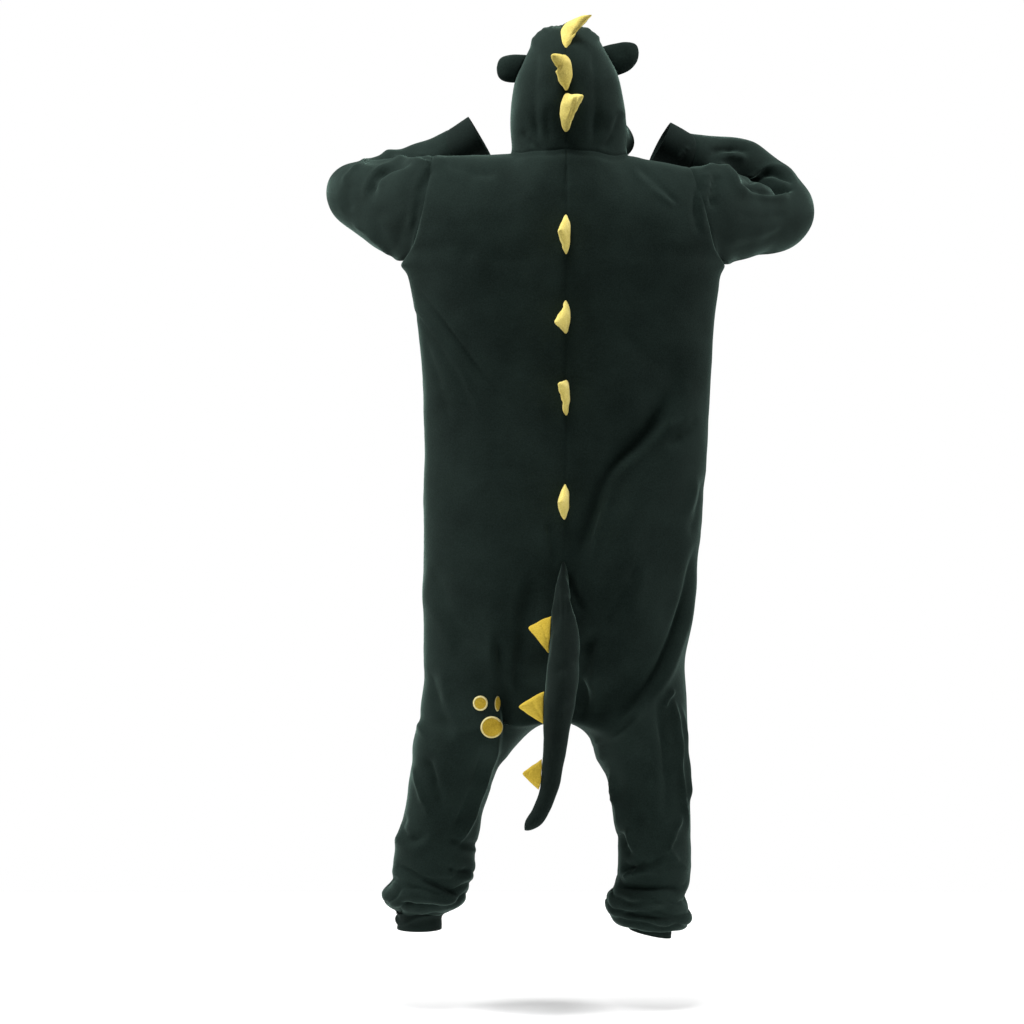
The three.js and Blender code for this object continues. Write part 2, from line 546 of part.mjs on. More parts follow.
/** One panel of the body as its outer grid and inner vectors. */
function panel(side, faceName) {
  const face = YOKE[faceName].face;
  const torso = torsoRows(side, faceName);
  const legs = LEGS[side].map((section) =>
    Array.from({ length: PANEL_COLUMNS + 1 }, (_, column) => legPoint(side, faceName, section, column)),
  );
  const grid = [...torso, ...legs];
  const crotchRow = torso.length;
  const insidePoint = (i) => {
    const line = grid[i];
    const legRow = i >= crotchRow;
    const middle = line[0].clone().lerp(line[PANEL_COLUMNS], 0.5);
    return point(legRow ? middle.x : 0, 0, middle.z - (i < YOKE[faceName].rows ? 60 : 0));
  };
  const normals = gridNormals(grid, false, insidePoint);
  const inner = normals.map((line) => line.map((normal) => normal.multiplyScalar(-CLOTH)));
  const onSide = (i, j, axis) => {
    inner[i][j] = flattened(inner[i][j], axis);
  };
  const gap = SEAM_GAP / 2;
  grid.forEach((line, i) => {
    if (i < crotchRow) {
      onSide(i, 0, "x");
      line[0].x = seamLean(-line[0].z) + SIDES[side] * gap;
    } else {
      onSide(i, 0, "y");
      line[0].y = face * gap;
    }
    if (i === 0 || i >= ARMHOLE_ROWS) {
      onSide(i, PANEL_COLUMNS, "y");
      line[PANEL_COLUMNS].y = face * gap;
    }
  });
  for (let j = NECK_COLUMNS; j < PANEL_COLUMNS; j += 1) {
    onSide(0, j, "y");
    grid[0][j].y = face * gap;
  }
  grid[crotchRow][0].x = seamLean(CROTCH_DROP) + SIDES[side] * gap;
  inner[crotchRow][0] = point(0, 0, CLOTH);
  return { grid, inner };
}

/** The edge that a back and a front panel share with their neighbour, as points and inner vectors. */
function sharedEdge(back, front) {
  const middle = (a, b) => a.clone().add(b).multiplyScalar(0.5);
  const last = back.length - 1;
  const loop = [];
  loop.push({ at: middle(back[0].at, front[0].at), inner: middle(back[0].inner, front[0].inner) });
  for (let i = 1; i < last; i += 1) loop.push(back[i]);
  loop.push({ at: middle(back[last].at, front[last].at), inner: middle(back[last].inner, front[last].inner) });
  for (let i = last - 1; i > 0; i -= 1) loop.push(front[i]);
  return loop;
}

/** The armhole of one side, from the shoulder point down its back and up its front. */
function armholeLoop(back, front) {
  const edge = (part) =>
    Array.from({ length: ARMHOLE_ROWS + 1 }, (_, i) => ({
      at: part.grid[i][PANEL_COLUMNS],
      inner: part.inner[i][PANEL_COLUMNS],
    }));
  return sharedEdge(edge(back), edge(front));
}

/** The lower edge of one leg, from the inseam round the back to the side seam and round the front. */
function ankleLoop(back, front) {
  const edge = (part) => {
    const last = part.grid.length - 1;
    return part.grid[last].map((at, j) => ({ at, inner: part.inner[last][j] }));
  };
  return sharedEdge(edge(back), edge(front));
}

/** Height of a sleeve's folds at a section and an angle round it. */
function sleeveFold(side, section, angle) {
  return SLEEVE_FOLDS[side].reduce((height, fold) => {
    const round = ((angle - fold.angle + 540) % 360) - 180;
    const far = ((section - fold.section) / fold.sections) ** 2 + (round / fold.spread) ** 2;
    return height + fold.depth * Math.exp(-far);
  }, 0);
}

/** Rings of points along a path of sections, their frames carried along without twist. */
function sweptRings(side, sections, sides, startHeading) {
  const centres = sections.map((row) => point(SIDES[side] * row.out, row.fore, row.up));
  const heading = (i) => {
    if (i === 0) return startHeading.clone().normalize();
    const next = centres[Math.min(i + 1, centres.length - 1)];
    return next.clone().sub(centres[i - 1]).normalize();
  };
  const up = point(0, 0, 1);
  let before = heading(0);
  return sections.map((row, i) => {
    const now = heading(i);
    up.applyQuaternion(new THREE.Quaternion().setFromUnitVectors(before, now));
    up.addScaledVector(now, -up.dot(now)).normalize();
    before = now;
    const across = now.clone().cross(up).multiplyScalar(SIDES[side]);
    const ring = Array.from({ length: sides }, (_, m) => {
      const turn = (2 * Math.PI * m) / sides;
      const spoke = point(0, 0, 0)
        .addScaledVector(up, row.high * Math.cos(turn))
        .addScaledVector(across, row.wide * Math.sin(turn));
      spoke.setLength(spoke.length() + sleeveFold(side, i + 1, (360 * m) / sides));
      return spoke.add(centres[i]);
    });
    return { ring, centre: centres[i], heading: now, up: up.clone(), across };
  });
}

/** A sleeve from its armhole to the wrist band, and the band itself. */
function sleeve(side, loop) {
  const start = loop.map(({ at }) => at.clone().add(point(SIDES[side] * SEAM_GAP, 0, 0)));
  const swept = sweptRings(side, SLEEVES[side], SLEEVE_RING_SIDES, point(SIDES[side], 0.5, 0));
  const grid = [start, ...swept.map(({ ring }) => ring)];
  const centres = [start[0].clone().lerp(start[ARMHOLE_ROWS], 0.5), ...swept.map(({ centre }) => centre)];
  const normals = gridNormals(grid, true, (i) => centres[i]);
  const inner = normals.map((line) => line.map((normal) => normal.multiplyScalar(-CLOTH)));
  inner[0] = loop.map((entry) => entry.inner.clone());
  const wrist = swept[swept.length - 1];
  const band = SLEEVE_CUFF[side];
  const end = point(SIDES[side] * band.out, band.fore, band.up);
  const heading = end.clone().sub(wrist.centre).normalize();
  const turned = new THREE.Quaternion().setFromUnitVectors(wrist.heading, heading);
  const up = wrist.up.clone().applyQuaternion(turned);
  const across = wrist.across.clone().applyQuaternion(turned);
  const last = grid[grid.length - 1];
  const cuffGrid = Array.from({ length: SLEEVE_CUFF_ROWS + 1 }, (_, i) => {
    const share = i / SLEEVE_CUFF_ROWS;
    return last.map((at, m) => {
      const turn = (2 * Math.PI * m) / SLEEVE_RING_SIDES;
      const rim = end
        .clone()
        .addScaledVector(up, band.high * Math.cos(turn))
        .addScaledVector(across, band.wide * Math.sin(turn));
      const seam = at.clone().addScaledVector(wrist.heading, SEAM_GAP);
      return seam.lerp(rim, share);
    });
  });
  const cuffNormals = gridNormals(cuffGrid, true, (i) => wrist.centre.clone().lerp(end, i / SLEEVE_CUFF_ROWS));
  const cuffInner = cuffNormals.map((line) => line.map((normal) => normal.multiplyScalar(-CLOTH)));
  const wristInner = last.map((at) => wrist.centre.clone().sub(at).setLength(CLOTH));
  inner[inner.length - 1] = wristInner;
  cuffInner[0] = wristInner.map((vector) => vector.clone());
  return [
    clothWall(`sleeve_${side}`, grid, inner, true, GREEN),
    clothWall(`sleeve_cuff_${side}`, cuffGrid, cuffInner, true, GREEN_BAND),
  ];
}

/** The band below the leg of one side. */
function ankleCuff(side, loop) {
  const { height, taper, slope } = ANKLE_CUFF[side];
  const centre = loop.reduce((sum, { at }) => sum.add(at), point(0, 0, 0)).divideScalar(loop.length);
  const reach = Math.max(...loop.map(({ at }) => Math.abs(at.x - centre.x)));
  const rows = 3;
  const grid = Array.from({ length: rows + 1 }, (_, i) => {
    const share = i / rows;
    return loop.map(({ at }) => {
      const outer = (SIDES[side] * (at.x - centre.x)) / reach;
      const level = lerp(at.z - SEAM_GAP, centre.z - height - slope * outer, share);
      const size = lerp(1, taper, share);
      return point(centre.x + (at.x - centre.x) * size, centre.y + (at.y - centre.y) * size, level);
    });
  });
  const inner = grid.map((line, i) =>
    line.map((at, m) => {
      if (i === 0) return loop[m].inner.clone();
      return point(centre.x - at.x, centre.y - at.y, 0).setLength(CLOTH);
    }),
  );
  return clothWall(`ankle_cuff_${side}`, grid, inner, true, GREEN_BAND);
}

const hoodCurve = Object.fromEntries(
  ["left", "right", "back", "edge", "edgeLeft", "edgeRight"].map((name) => [name, columnCurve(HOOD, "up", name)]),
);

/** One half of the hood, from the neck edge of the panels to the centre seam over the crown. */
function hoodHalf(side, back, front) {
  const neck = [];
  for (let j = 0; j < NECK_COLUMNS; j += 1) neck.push({ at: back.grid[0][j], inner: back.inner[0][j] });
  const middle = back.grid[0][NECK_COLUMNS].clone().add(front.grid[0][NECK_COLUMNS]).multiplyScalar(0.5);
  neck.push({ at: middle, inner: back.inner[0][NECK_COLUMNS] });
  for (let j = NECK_COLUMNS - 1; j >= 0; j -= 1) neck.push({ at: front.grid[0][j], inner: front.inner[0][j] });
  const edgeColumn = side === "left" ? "edgeLeft" : "edgeRight";
  const last = neck.length - 1;
  const gap = SEAM_GAP / 2;
  const grid = Array.from({ length: HOOD_ROWS + 1 }, (_, row) => {
    const share = Math.sin(degToRad((90 * row) / HOOD_ROWS));
    return neck.map(({ at }, j) => {
      if (row === 0) return at.clone().add(point(0, 0, SEAM_GAP));
      const top = HOOD_CROWN - HOOD_FOREHEAD_DROP * (j / last) ** 2;
      const z = lerp(at.z, top, share);
      const level = HOOD_CROWN * (z / top);
      const wide = hoodCurve[side](z < 0 ? z : level);
      const depth = hoodCurve.back(z < 0 ? z : level);
      const edgeOut = hoodCurve[edgeColumn](z < 0 ? z : level);
      const edgeFore = hoodCurve.edge(z < 0 ? z : level);
      let out;
      let fore;
      if (j <= NECK_COLUMNS) {
        const turn = degToRad((90 * j) / NECK_COLUMNS);
        out = wide * Math.sin(turn);
        fore = HOOD_MIDDLE - (depth + HOOD_MIDDLE) * Math.cos(turn);
      } else {
        const turn = degToRad((90 * (j - NECK_COLUMNS)) / (last - NECK_COLUMNS));
        out = edgeOut + (wide - edgeOut) * Math.cos(turn);
        fore = HOOD_MIDDLE + (edgeFore - HOOD_MIDDLE) * Math.sin(turn);
      }
      const free = smoothstep(share, 0, 0.35);
      const x = lerp(Math.abs(at.x), out, free);
      return point(SIDES[side] * Math.max(x, gap), lerp(at.y, fore, free), z);
    });
  });
  const normals = gridNormals(grid, false, (i) => point(0, 20, i * 18 - 20));
  const inner = normals.map((line) => line.map((normal) => normal.multiplyScalar(-CLOTH)));
  inner[0] = neck.map((entry) => entry.inner.clone());
  grid.forEach((line, i) => {
    line[0].x = SIDES[side] * gap;
    inner[i][0] = flattened(inner[i][0], "x");
  });
  grid[HOOD_ROWS].forEach((here, j) => {
    here.x = SIDES[side] * gap;
    inner[HOOD_ROWS][j] = flattened(inner[HOOD_ROWS][j], "x");
  });
  grid[0][last].x = SIDES[side] * gap;
  inner[0][last] = flattened(inner[0][last], "x");
  return clothWall(`hood_${side}`, grid, inner, false, GREEN);
}

/** Where a line from far outside first meets one of the walls, moved back out by a gap. */
function seat(walls, from, towards, gap) {
  const hits = new THREE.Raycaster(from, towards).intersectObjects(walls, false);
  return hits[0].point.addScaledVector(towards, -gap);
}

/** A place on the back or the hood seen from behind; near the centre seam the line keeps clear of its gap. */
function seatBehind(walls, x, z, gap) {
  const lean = seamLean(-z);
  const clear = Math.abs(x - lean) < 0.8 ? lean + (x < lean ? -0.8 : 0.8) : x;
  const found = seat(walls, point(clear, -FAR, z), point(0, 1, 0), gap);
  return point(x, found.y, z);
}

/** The seam of a sewn-on piece: points round its edge, its middle, and a spine between its two ends. */
function seamRing(steps, place) {
  const ring = Array.from({ length: 2 * steps }, (_, m) => {
    const turn = (Math.PI * m) / steps;
    return place((1 - Math.cos(turn)) / 2, Math.sin(turn));
  });
  const spine = Array.from({ length: steps - 1 }, (_, m) => {
    const turn = (Math.PI * (m + 1)) / steps;
    return place((1 - Math.cos(turn)) / 2, 0);
  });
  return { ring, spine, middle: ring[0].clone().lerp(ring[steps], 0.5) };
}

/** A spike in the centre seam of the hood or the back. */
function seamSpike({ name, top, bottom, thick, tipX, reach, tipZ, carrier }) {
  const { ring, spine, middle } = seamRing(SPIKE_STEPS, (down, aside) => {
    const z = lerp(top, bottom, down);
    return seatBehind(carriers[carrier], seamLean(-z) + (thick / 2) * aside, z, SEAT_GAP);
  });
  const tip = point(tipX, middle.y - reach, tipZ);
  const rings = SPIKE_FORM.map(({ along, high, fat }) => {
    const x = lerp(middle.x, tip.x, along ** 1.6);
    const y = lerp(middle.y, tip.y, along);
    const z = lerp(middle.z, tip.z, along);
    return ring.map((at) => {
      const spoke = at.clone().sub(middle);
      return point(x + spoke.x * fat, y + spoke.y * (1 - along) * high, z + spoke.z * high);
    });
  });
  return stuffedBody(name, rings, spine, tip, YELLOW);
}

/** A rounded stuffed ear, its seam on the side of the hood. */
function ear(side, { top, bottom, reach, angle, thick }) {
  const sign = SIDES[side];
  const { ring, spine, middle } = seamRing(SPIKE_STEPS, (down, aside) => {
    const z = lerp(top, bottom, down);
    const y = EAR_FORE - (thick / 2) * aside;
    return seat(carriers.hood, point(sign * FAR, y, z), point(-sign, 0, 0), SEAT_GAP);
  });
  const along = point(Math.cos(degToRad(angle)), 0, Math.sin(degToRad(angle)));
  const rings = EAR_SHARES.map((share) => {
    const rim = (1 - share ** EAR_POWER) ** (1 / EAR_POWER);
    const fat = rim * (1 + 0.25 * Math.sin(Math.PI * share));
    return ring.map((at) => {
      const spoke = at.clone().sub(middle);
      const x = middle.x + spoke.x * (1 - share);
      const place = point(x, middle.y + spoke.y * fat, middle.z + spoke.z * rim * (1 + 0.12 * share));
      return place.addScaledVector(along, reach * share);
    });
  });
  return stuffedBody(`ear_${side}`, rings, spine, middle.clone().addScaledVector(along, reach), GREEN);
}

/** The stuffed tail, its root set along the centre back seam. */
function makeTail() {
  const { ring, spine } = seamRing(TAIL_SIDES / 2, (down, aside) => {
    const z = lerp(TAIL_ROOT.top, TAIL_ROOT.bottom, down);
    return seatBehind(carriers.back, seamLean(-z) + TAIL_ROOT.wide * aside, z, SEAT_GAP);
  });
  const rings = TAIL.map(({ x, y, z, high, wide, tilt, lean }) => {
    const back = degToRad(tilt);
    const sideways = degToRad(lean);
    const rise = point(0, -Math.sin(back), Math.cos(back));
    const across = point(Math.cos(sideways), 0, -Math.sin(sideways));
    return Array.from({ length: TAIL_SIDES }, (_, m) => {
      const turn = (2 * Math.PI * m) / TAIL_SIDES;
      const place = point(x, y, z).addScaledVector(rise, high * Math.cos(turn));
      return place.addScaledVector(across, wide * Math.sin(turn));
    });
  });
  return stuffedBody("tail", [ring, ...rings], spine, point(TAIL_TIP.x, TAIL_TIP.y, TAIL_TIP.z), GREEN);
}

/** A spike on the left side of the tail. */
function tailSpike({ name, top, bottom, thick, tipX, tipZ }, tailMesh) {
  const fore = columnCurve(TAIL.map(({ y, z }) => ({ drop: -z, y })), "drop", "y");
  const { ring, spine, middle } = seamRing(SPIKE_STEPS, (down, aside) => {
    const z = lerp(top, bottom, down);
    const y = fore(-z) - (thick / 2) * aside;
    return seat([tailMesh], point(-FAR, y, z), point(1, 0, 0), SEAT_GAP);
  });
  const tip = point(tipX, middle.y, tipZ);
  const rings = SPIKE_FORM.map(({ along, high, fat }) =>
    ring.map((at) => {
      const spoke = at.clone().sub(middle);
      const centre = middle.clone().lerp(tip, along);
      return point(centre.x + spoke.x * (1 - along) * high, centre.y + spoke.y * fat, centre.z + spoke.z * high);
    }),
  );
  return stuffedBody(name, rings, spine, tip, YELLOW);
}

/** An applique spot that lies on the back panel of the left leg. */
function makeSpot({ name, x, z, radius, gap }) {
  const wall = [carriers.back[0]];
  const lie = (across, down, lift) => {
    const near = SPOT_REACH.map(([a, b]) => seatBehind(wall, across + a, down + b, lift).y);
    return point(across, Math.min(...near), down);
  };
  const ring = (share, lift) =>
    Array.from({ length: SPOT_SIDES }, (_, m) => {
      const turn = (2 * Math.PI * m) / SPOT_SIDES;
      const size = radius * share;
      return lie(x + size * Math.sin(turn), z + size * Math.cos(turn), lift);
    });
  const top = gap + SPOT_THICK;
  const under = SPOT_SHARES.map((share) => ring(share, gap));
  const upper = SPOT_SHARES.map((share) => ring(share, top)).reverse();
  return stuffedDisc(name, [...under, ...upper], lie(x, z, gap), lie(x, z, top), YELLOW);
}

/** The band over the centre front seam, made from the front panels' own rows and moved out. */
function makePlacket() {
  const rows = [];
  for (let i = PLACKET.firstRow; i <= PLACKET.lastRow; i += 1) {
    const left = frontPanels.left.grid[i];
    const right = frontPanels.right.grid[i];
    const lane = (line) => line[0].clone().lerp(line[1], PLACKET.half / Math.abs(line[1].x - line[0].x));
    const centre = left[0].clone().lerp(right[0], 0.5);
    rows.push([lane(left), centre, lane(right)]);
  }
  const lift = point(0, SEAT_GAP + CLOTH, 0);
  const grid = rows.map((line) => line.map((at) => at.clone().add(lift)));
  const inner = rows.map((line) => line.map(() => point(0, -CLOTH, 0)));
  return clothWall("front_placket", grid, inner, false, GREEN_BAND);
}

/** A round flat button on the placket, turned to lie along it. */
function makeButton(index) {
  const z = BUTTONS.first + BUTTONS.step * index;
  const x = seamLean(-z);
  const towards = point(0, -1, 0);
  const [high, on, low] = [BUTTONS.radius, 0, -BUTTONS.radius].map((off) =>
    seat([placket], point(x + 0.2, FAR, z + off), towards, SEAT_GAP),
  );
  const disc = new THREE.CylinderGeometry(BUTTONS.radius, BUTTONS.radius, BUTTONS.thick, BUTTONS.sides);
  const button = new THREE.Mesh(disc, new THREE.MeshStandardMaterial(BUTTON));
  const slope = Math.atan2(low.y - high.y, high.z - low.z);
  const outward = point(0, Math.cos(slope), Math.sin(slope));
  const bow = Math.max(0, on.y - (high.y + low.y) / 2);
  button.name = `button_${index + 1}`;
  button.rotation.x = slope;
  button.position.set(x, (high.y + low.y) / 2 + bow, (high.z + low.z) / 2);
  button.position.addScaledVector(outward, BUTTONS.thick / 2);
  return button;
}

const backPanels = { left: panel("left", "back"), right: panel("right", "back") };
const frontPanels = { left: panel("left", "front"), right: panel("right", "front") };

const garment = new THREE.Group();
const carriers = { back: [], front: [], hood: [] };
for (const side of Object.keys(SIDES)) {
  const back = clothWall(`back_${side}`, backPanels[side].grid, backPanels[side].inner, false, GREEN);
  const front = clothWall(`front_${side}`, frontPanels[side].grid, frontPanels[side].inner, false, GREEN);
  const hood = hoodHalf(side, backPanels[side], frontPanels[side]);
  carriers.back.push(back);
  carriers.front.push(front);
  carriers.hood.push(hood);
  garment.add(back, front, hood);
  garment.add(...sleeve(side, armholeLoop(backPanels[side], frontPanels[side])));
  garment.add(ankleCuff(side, ankleLoop(backPanels[side], frontPanels[side])));
}

for (const side of Object.keys(EARS)) garment.add(ear(side, EARS[side]));
for (const spike of SEAM_SPIKES) garment.add(seamSpike(spike));
const tail = makeTail();
garment.add(tail);
for (const spike of TAIL_SPIKES) garment.add(tailSpike(spike, tail));
for (const spot of SPOTS) garment.add(makeSpot(spot));
const placket = makePlacket();
garment.add(placket);
for (let i = 0; i < BUTTONS.count; i += 1) garment.add(makeButton(i));

export default garment;
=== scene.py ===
"""Crocodile onesie of dark green fleece, worn and hollow, seen from behind.

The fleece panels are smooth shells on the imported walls, with their folds, seams and thickness.
The spikes, ears and tail are stuffed pieces, and the front closure has a band and buttons.
"""

import logging
import math
from dataclasses import dataclass, field, replace
from enum import Enum

import bmesh
import bpy
import numpy as np
from mathutils import Matrix, Vector, noise
from mathutils.bvhtree import BVHTree
from mathutils.kdtree import KDTree


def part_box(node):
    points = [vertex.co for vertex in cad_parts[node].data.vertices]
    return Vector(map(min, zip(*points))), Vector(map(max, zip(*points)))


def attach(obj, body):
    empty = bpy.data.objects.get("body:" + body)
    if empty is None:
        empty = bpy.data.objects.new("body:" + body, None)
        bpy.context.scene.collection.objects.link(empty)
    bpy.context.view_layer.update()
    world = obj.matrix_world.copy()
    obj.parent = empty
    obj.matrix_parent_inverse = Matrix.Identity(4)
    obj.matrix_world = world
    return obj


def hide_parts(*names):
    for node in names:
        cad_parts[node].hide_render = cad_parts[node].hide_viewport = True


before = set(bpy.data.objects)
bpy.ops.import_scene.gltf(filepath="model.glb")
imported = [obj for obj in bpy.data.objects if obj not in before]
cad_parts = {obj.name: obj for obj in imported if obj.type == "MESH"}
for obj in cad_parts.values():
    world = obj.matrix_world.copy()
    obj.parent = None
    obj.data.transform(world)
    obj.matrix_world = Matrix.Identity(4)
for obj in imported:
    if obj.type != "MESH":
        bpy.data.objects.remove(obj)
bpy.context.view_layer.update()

LOG = logging.getLogger("onesie")

MM = 0.001
PIXEL = 0.0018  # metres a pixel of the photograph at the plane through the shoulders
IMAGE = 1024
EYE = Vector((-0.0954, -5.0, -0.639))  # where the photograph was taken from
FLEECE_THICK = 0.002
SAME_POINT = 1e-5  # metres within which loose triangles share a corner
SEWN = 0.45  # millimetres within which the edges of two panels are one seam
CUT_EDGE = 55  # degrees past which an edge of the cloth is shaded sharp
FLOOR_Z = -1.53
ROOT_LOW, ROOT_HIGH = -960.0, -800.0  # millimetres, where the tail leaves the cloth
TAIL_PRESSED = 0.45  # share of its depth that the tail's root keeps
CREASE_DEPTH = 1.75  # all creases against their tables
CREASE_ROLL = 1.9
CREASE_WIDTH = 0.8


class Face(Enum):
    """The side of the garment that a fold lies on."""

    BACK = -1
    FRONT = 1
    BOTH = 0


def to_pixels(points: np.ndarray) -> np.ndarray:
    """Where points of the garment are seen in the photograph.

    Args:
        points: rows of x, y, z in metres.

    Returns:
        Rows of pixel column and pixel row.
    """
    near = -EYE.y / (points[:, 1] - EYE.y)
    across = IMAGE / 2 + (points[:, 0] - EYE.x) * near / PIXEL
    down = IMAGE / 2 - (points[:, 2] - EYE.z) * near / PIXEL
    return np.stack([across, down], 1)


def smoothstep(low: float, high: float, value: np.ndarray) -> np.ndarray:
    """A soft step from 0 at low to 1 at high."""
    t = np.clip((value - low) / (high - low), 0.0, 1.0)
    return t * t * (3 - 2 * t)


def positions(mesh: bpy.types.Mesh) -> np.ndarray:
    """The places of a mesh's vertices as rows."""
    flat = np.zeros(len(mesh.vertices) * 3, np.float32)
    mesh.vertices.foreach_get("co", flat)
    return flat.reshape(-1, 3).astype(float)


def normals(mesh: bpy.types.Mesh) -> np.ndarray:
    """The normals of a mesh's vertices as rows."""
    flat = np.zeros(len(mesh.vertices) * 3, np.float32)
    mesh.vertex_normals.foreach_get("vector", flat)
    return flat.reshape(-1, 3).astype(float)


def move(mesh: bpy.types.Mesh, places: np.ndarray) -> None:
    """Puts a mesh's vertices at new places."""
    mesh.vertices.foreach_set("co", places.astype(np.float32).ravel())
    mesh.update()


def wander(points: np.ndarray, size: float, seed: float) -> np.ndarray:
    """Smooth unevenness over the garment, the same each run.

    Args:
        points: rows of x, y, z in metres.
        size: length of a wave in metres.
        seed: shifts the pattern.

    Returns:
        One number a row, about -1 to 1.
    """
    shift = Vector((seed, seed * 0.37, -seed * 0.71))
    return np.array([noise.noise(Vector(p) / size + shift) for p in points])


@dataclass(frozen=True)
class Fold:
    """A crease or a roll of the cloth along a line of pixels.

    A negative depth is a trough, in millimetres. The width is in pixels. A roll is the height of
    the rounded lip beside it, right of the line's direction where positive, left where negative.
    """

    line: tuple[tuple[float, float], ...]
    depth: float
    width: float
    roll: float = 0.0
    face: Face = Face.BACK
    fade: float = 0.22

    def rounded(self) -> np.ndarray:
        """The line with its corners cut twice."""
        line = np.array(self.line, float)
        for _ in range(2):
            start, end = line[:-1], line[1:]
            cut = np.stack([0.75 * start + 0.25 * end, 0.25 * start + 0.75 * end], 1).reshape(-1, 2)
            line = np.concatenate([line[:1], cut, line[-1:]])
        return line

    def height(self, pixels: np.ndarray, facing: np.ndarray) -> np.ndarray:
        """How far the fold lifts the cloth.

        Args:
            pixels: where each point is seen.
            facing: the part of each point's normal along the garment's front.

        Returns:
            Metres along the normal for each point.
        """
        line = self.rounded()
        lengths = np.linalg.norm(np.diff(line, axis=0), axis=1)
        total = lengths.sum()
        nearest = np.full(len(pixels), 1e9)
        side = np.zeros(len(pixels))
        along = np.zeros(len(pixels))
        walked = 0.0
        for start, end, length in zip(line[:-1], line[1:], lengths):
            run = (end - start) / max(length, 1e-9)
            offset = pixels - start
            where = np.clip(offset @ run, 0.0, length)
            away = offset - where[:, None] * run
            distance = np.linalg.norm(away, axis=1)
            closer = distance < nearest
            nearest = np.where(closer, distance, nearest)
            turn = run[0] * offset[:, 1] - run[1] * offset[:, 0]
            side = np.where(closer, np.sign(turn), side)
            along = np.where(closer, (walked + where) / total, along)
            walked += length
        phase = self.line[0][0] * 0.13
        uneven = 1 + 0.22 * np.sin(along * 9 + phase) + 0.12 * np.sin(along * 23 + 2 * phase)
        wide = CREASE_WIDTH * self.width * (1 + 0.2 * np.sin(along * 6.1 - phase))
        taper = smoothstep(0, self.fade, along) * smoothstep(0, self.fade, 1 - along)
        shape = CREASE_DEPTH * self.depth * np.exp(-((nearest / wide) ** 1.5))
        if self.roll:
            signed = nearest * side * math.copysign(1.0, self.roll)
            lip = np.abs(signed - 1.6 * wide) / (0.95 * wide)
            shape = shape + CREASE_ROLL * abs(self.roll) * np.exp(-(lip**1.6))
        if self.face is Face.BOTH:
            seen = np.ones(len(pixels))
        else:
            seen = smoothstep(-0.3, 0.25, facing * self.face.value)
        return MM * shape * uneven * taper * seen


def on(face: Face, *folds: Fold) -> tuple[Fold, ...]:
    """The same folds on another side of the garment."""
    return tuple(replace(fold, face=face) for fold in folds)


# Each fold: its line, depth, width and, where it has one, its roll.
BODY_FOLDS = (
    Fold(((669, 384), (661, 415), (641, 441), (620, 458), (609, 473), (600, 495), (592, 523),
          (580, 553), (570, 574)),
         -8.0, 8.5, -5.0),
    Fold(((698, 418), (684, 434), (664, 446)), -3.0, 7.0, 2.0),
    Fold(((412, 284), (432, 306), (459, 342), (486, 379), (515, 414)), -2.6, 3.6, -1.4),
    Fold(((404, 300), (428, 330), (455, 372), (478, 418)), -1.8, 3.4, -1.2),
    Fold(((420, 330), (436, 372), (452, 428)), -1.6, 5.0),
    Fold(((548, 520), (552, 545), (557, 572)), -4.0, 4.5, 1.5),
    Fold(((566, 570), (573, 592), (584, 614)), -5.0, 5.0, -2.5),
    Fold(((596, 628), (585, 660), (576, 683), (586, 704), (578, 722)), -9.0, 9.0, -3.0),
    Fold(((534, 568), (524, 630), (515, 700)), -5.0, 8.0, 2.0),
    Fold(((495, 628), (502, 668), (503, 700), (508, 716), (508, 734), (502, 752)), -8.5, 6.2, 1.8),
    Fold(((699, 536), (692, 566), (681, 615), (665, 655), (652, 680), (625, 711), (604, 735)),
         -7.5, 7.0, -4.2),
    Fold(((706, 470), (700, 505), (690, 540)), -3.0, 7.0, 2.0),
    Fold(((634, 163), (654, 180), (681, 206)), -1.9, 5.0, 1.2),
    Fold(((436, 158), (466, 172), (500, 176)), -1.8, 7.0),
    Fold(((640, 560), (622, 600), (600, 632)), -2.6, 8.0, -2.0),
    Fold(((430, 560), (446, 610), (470, 650)), -2.4, 11.0, 2.0),
    Fold(((426, 664), (436, 700), (452, 742)), -3.0, 9.0, -2.0),
    Fold(((566, 158), (565, 180), (564, 210)), -1.6, 4.0),
    Fold(((612, 318), (640, 352), (668, 372)), -1.5, 12.0),
    Fold(((450, 250), (500, 262), (548, 258)), -1.2, 14.0),
)

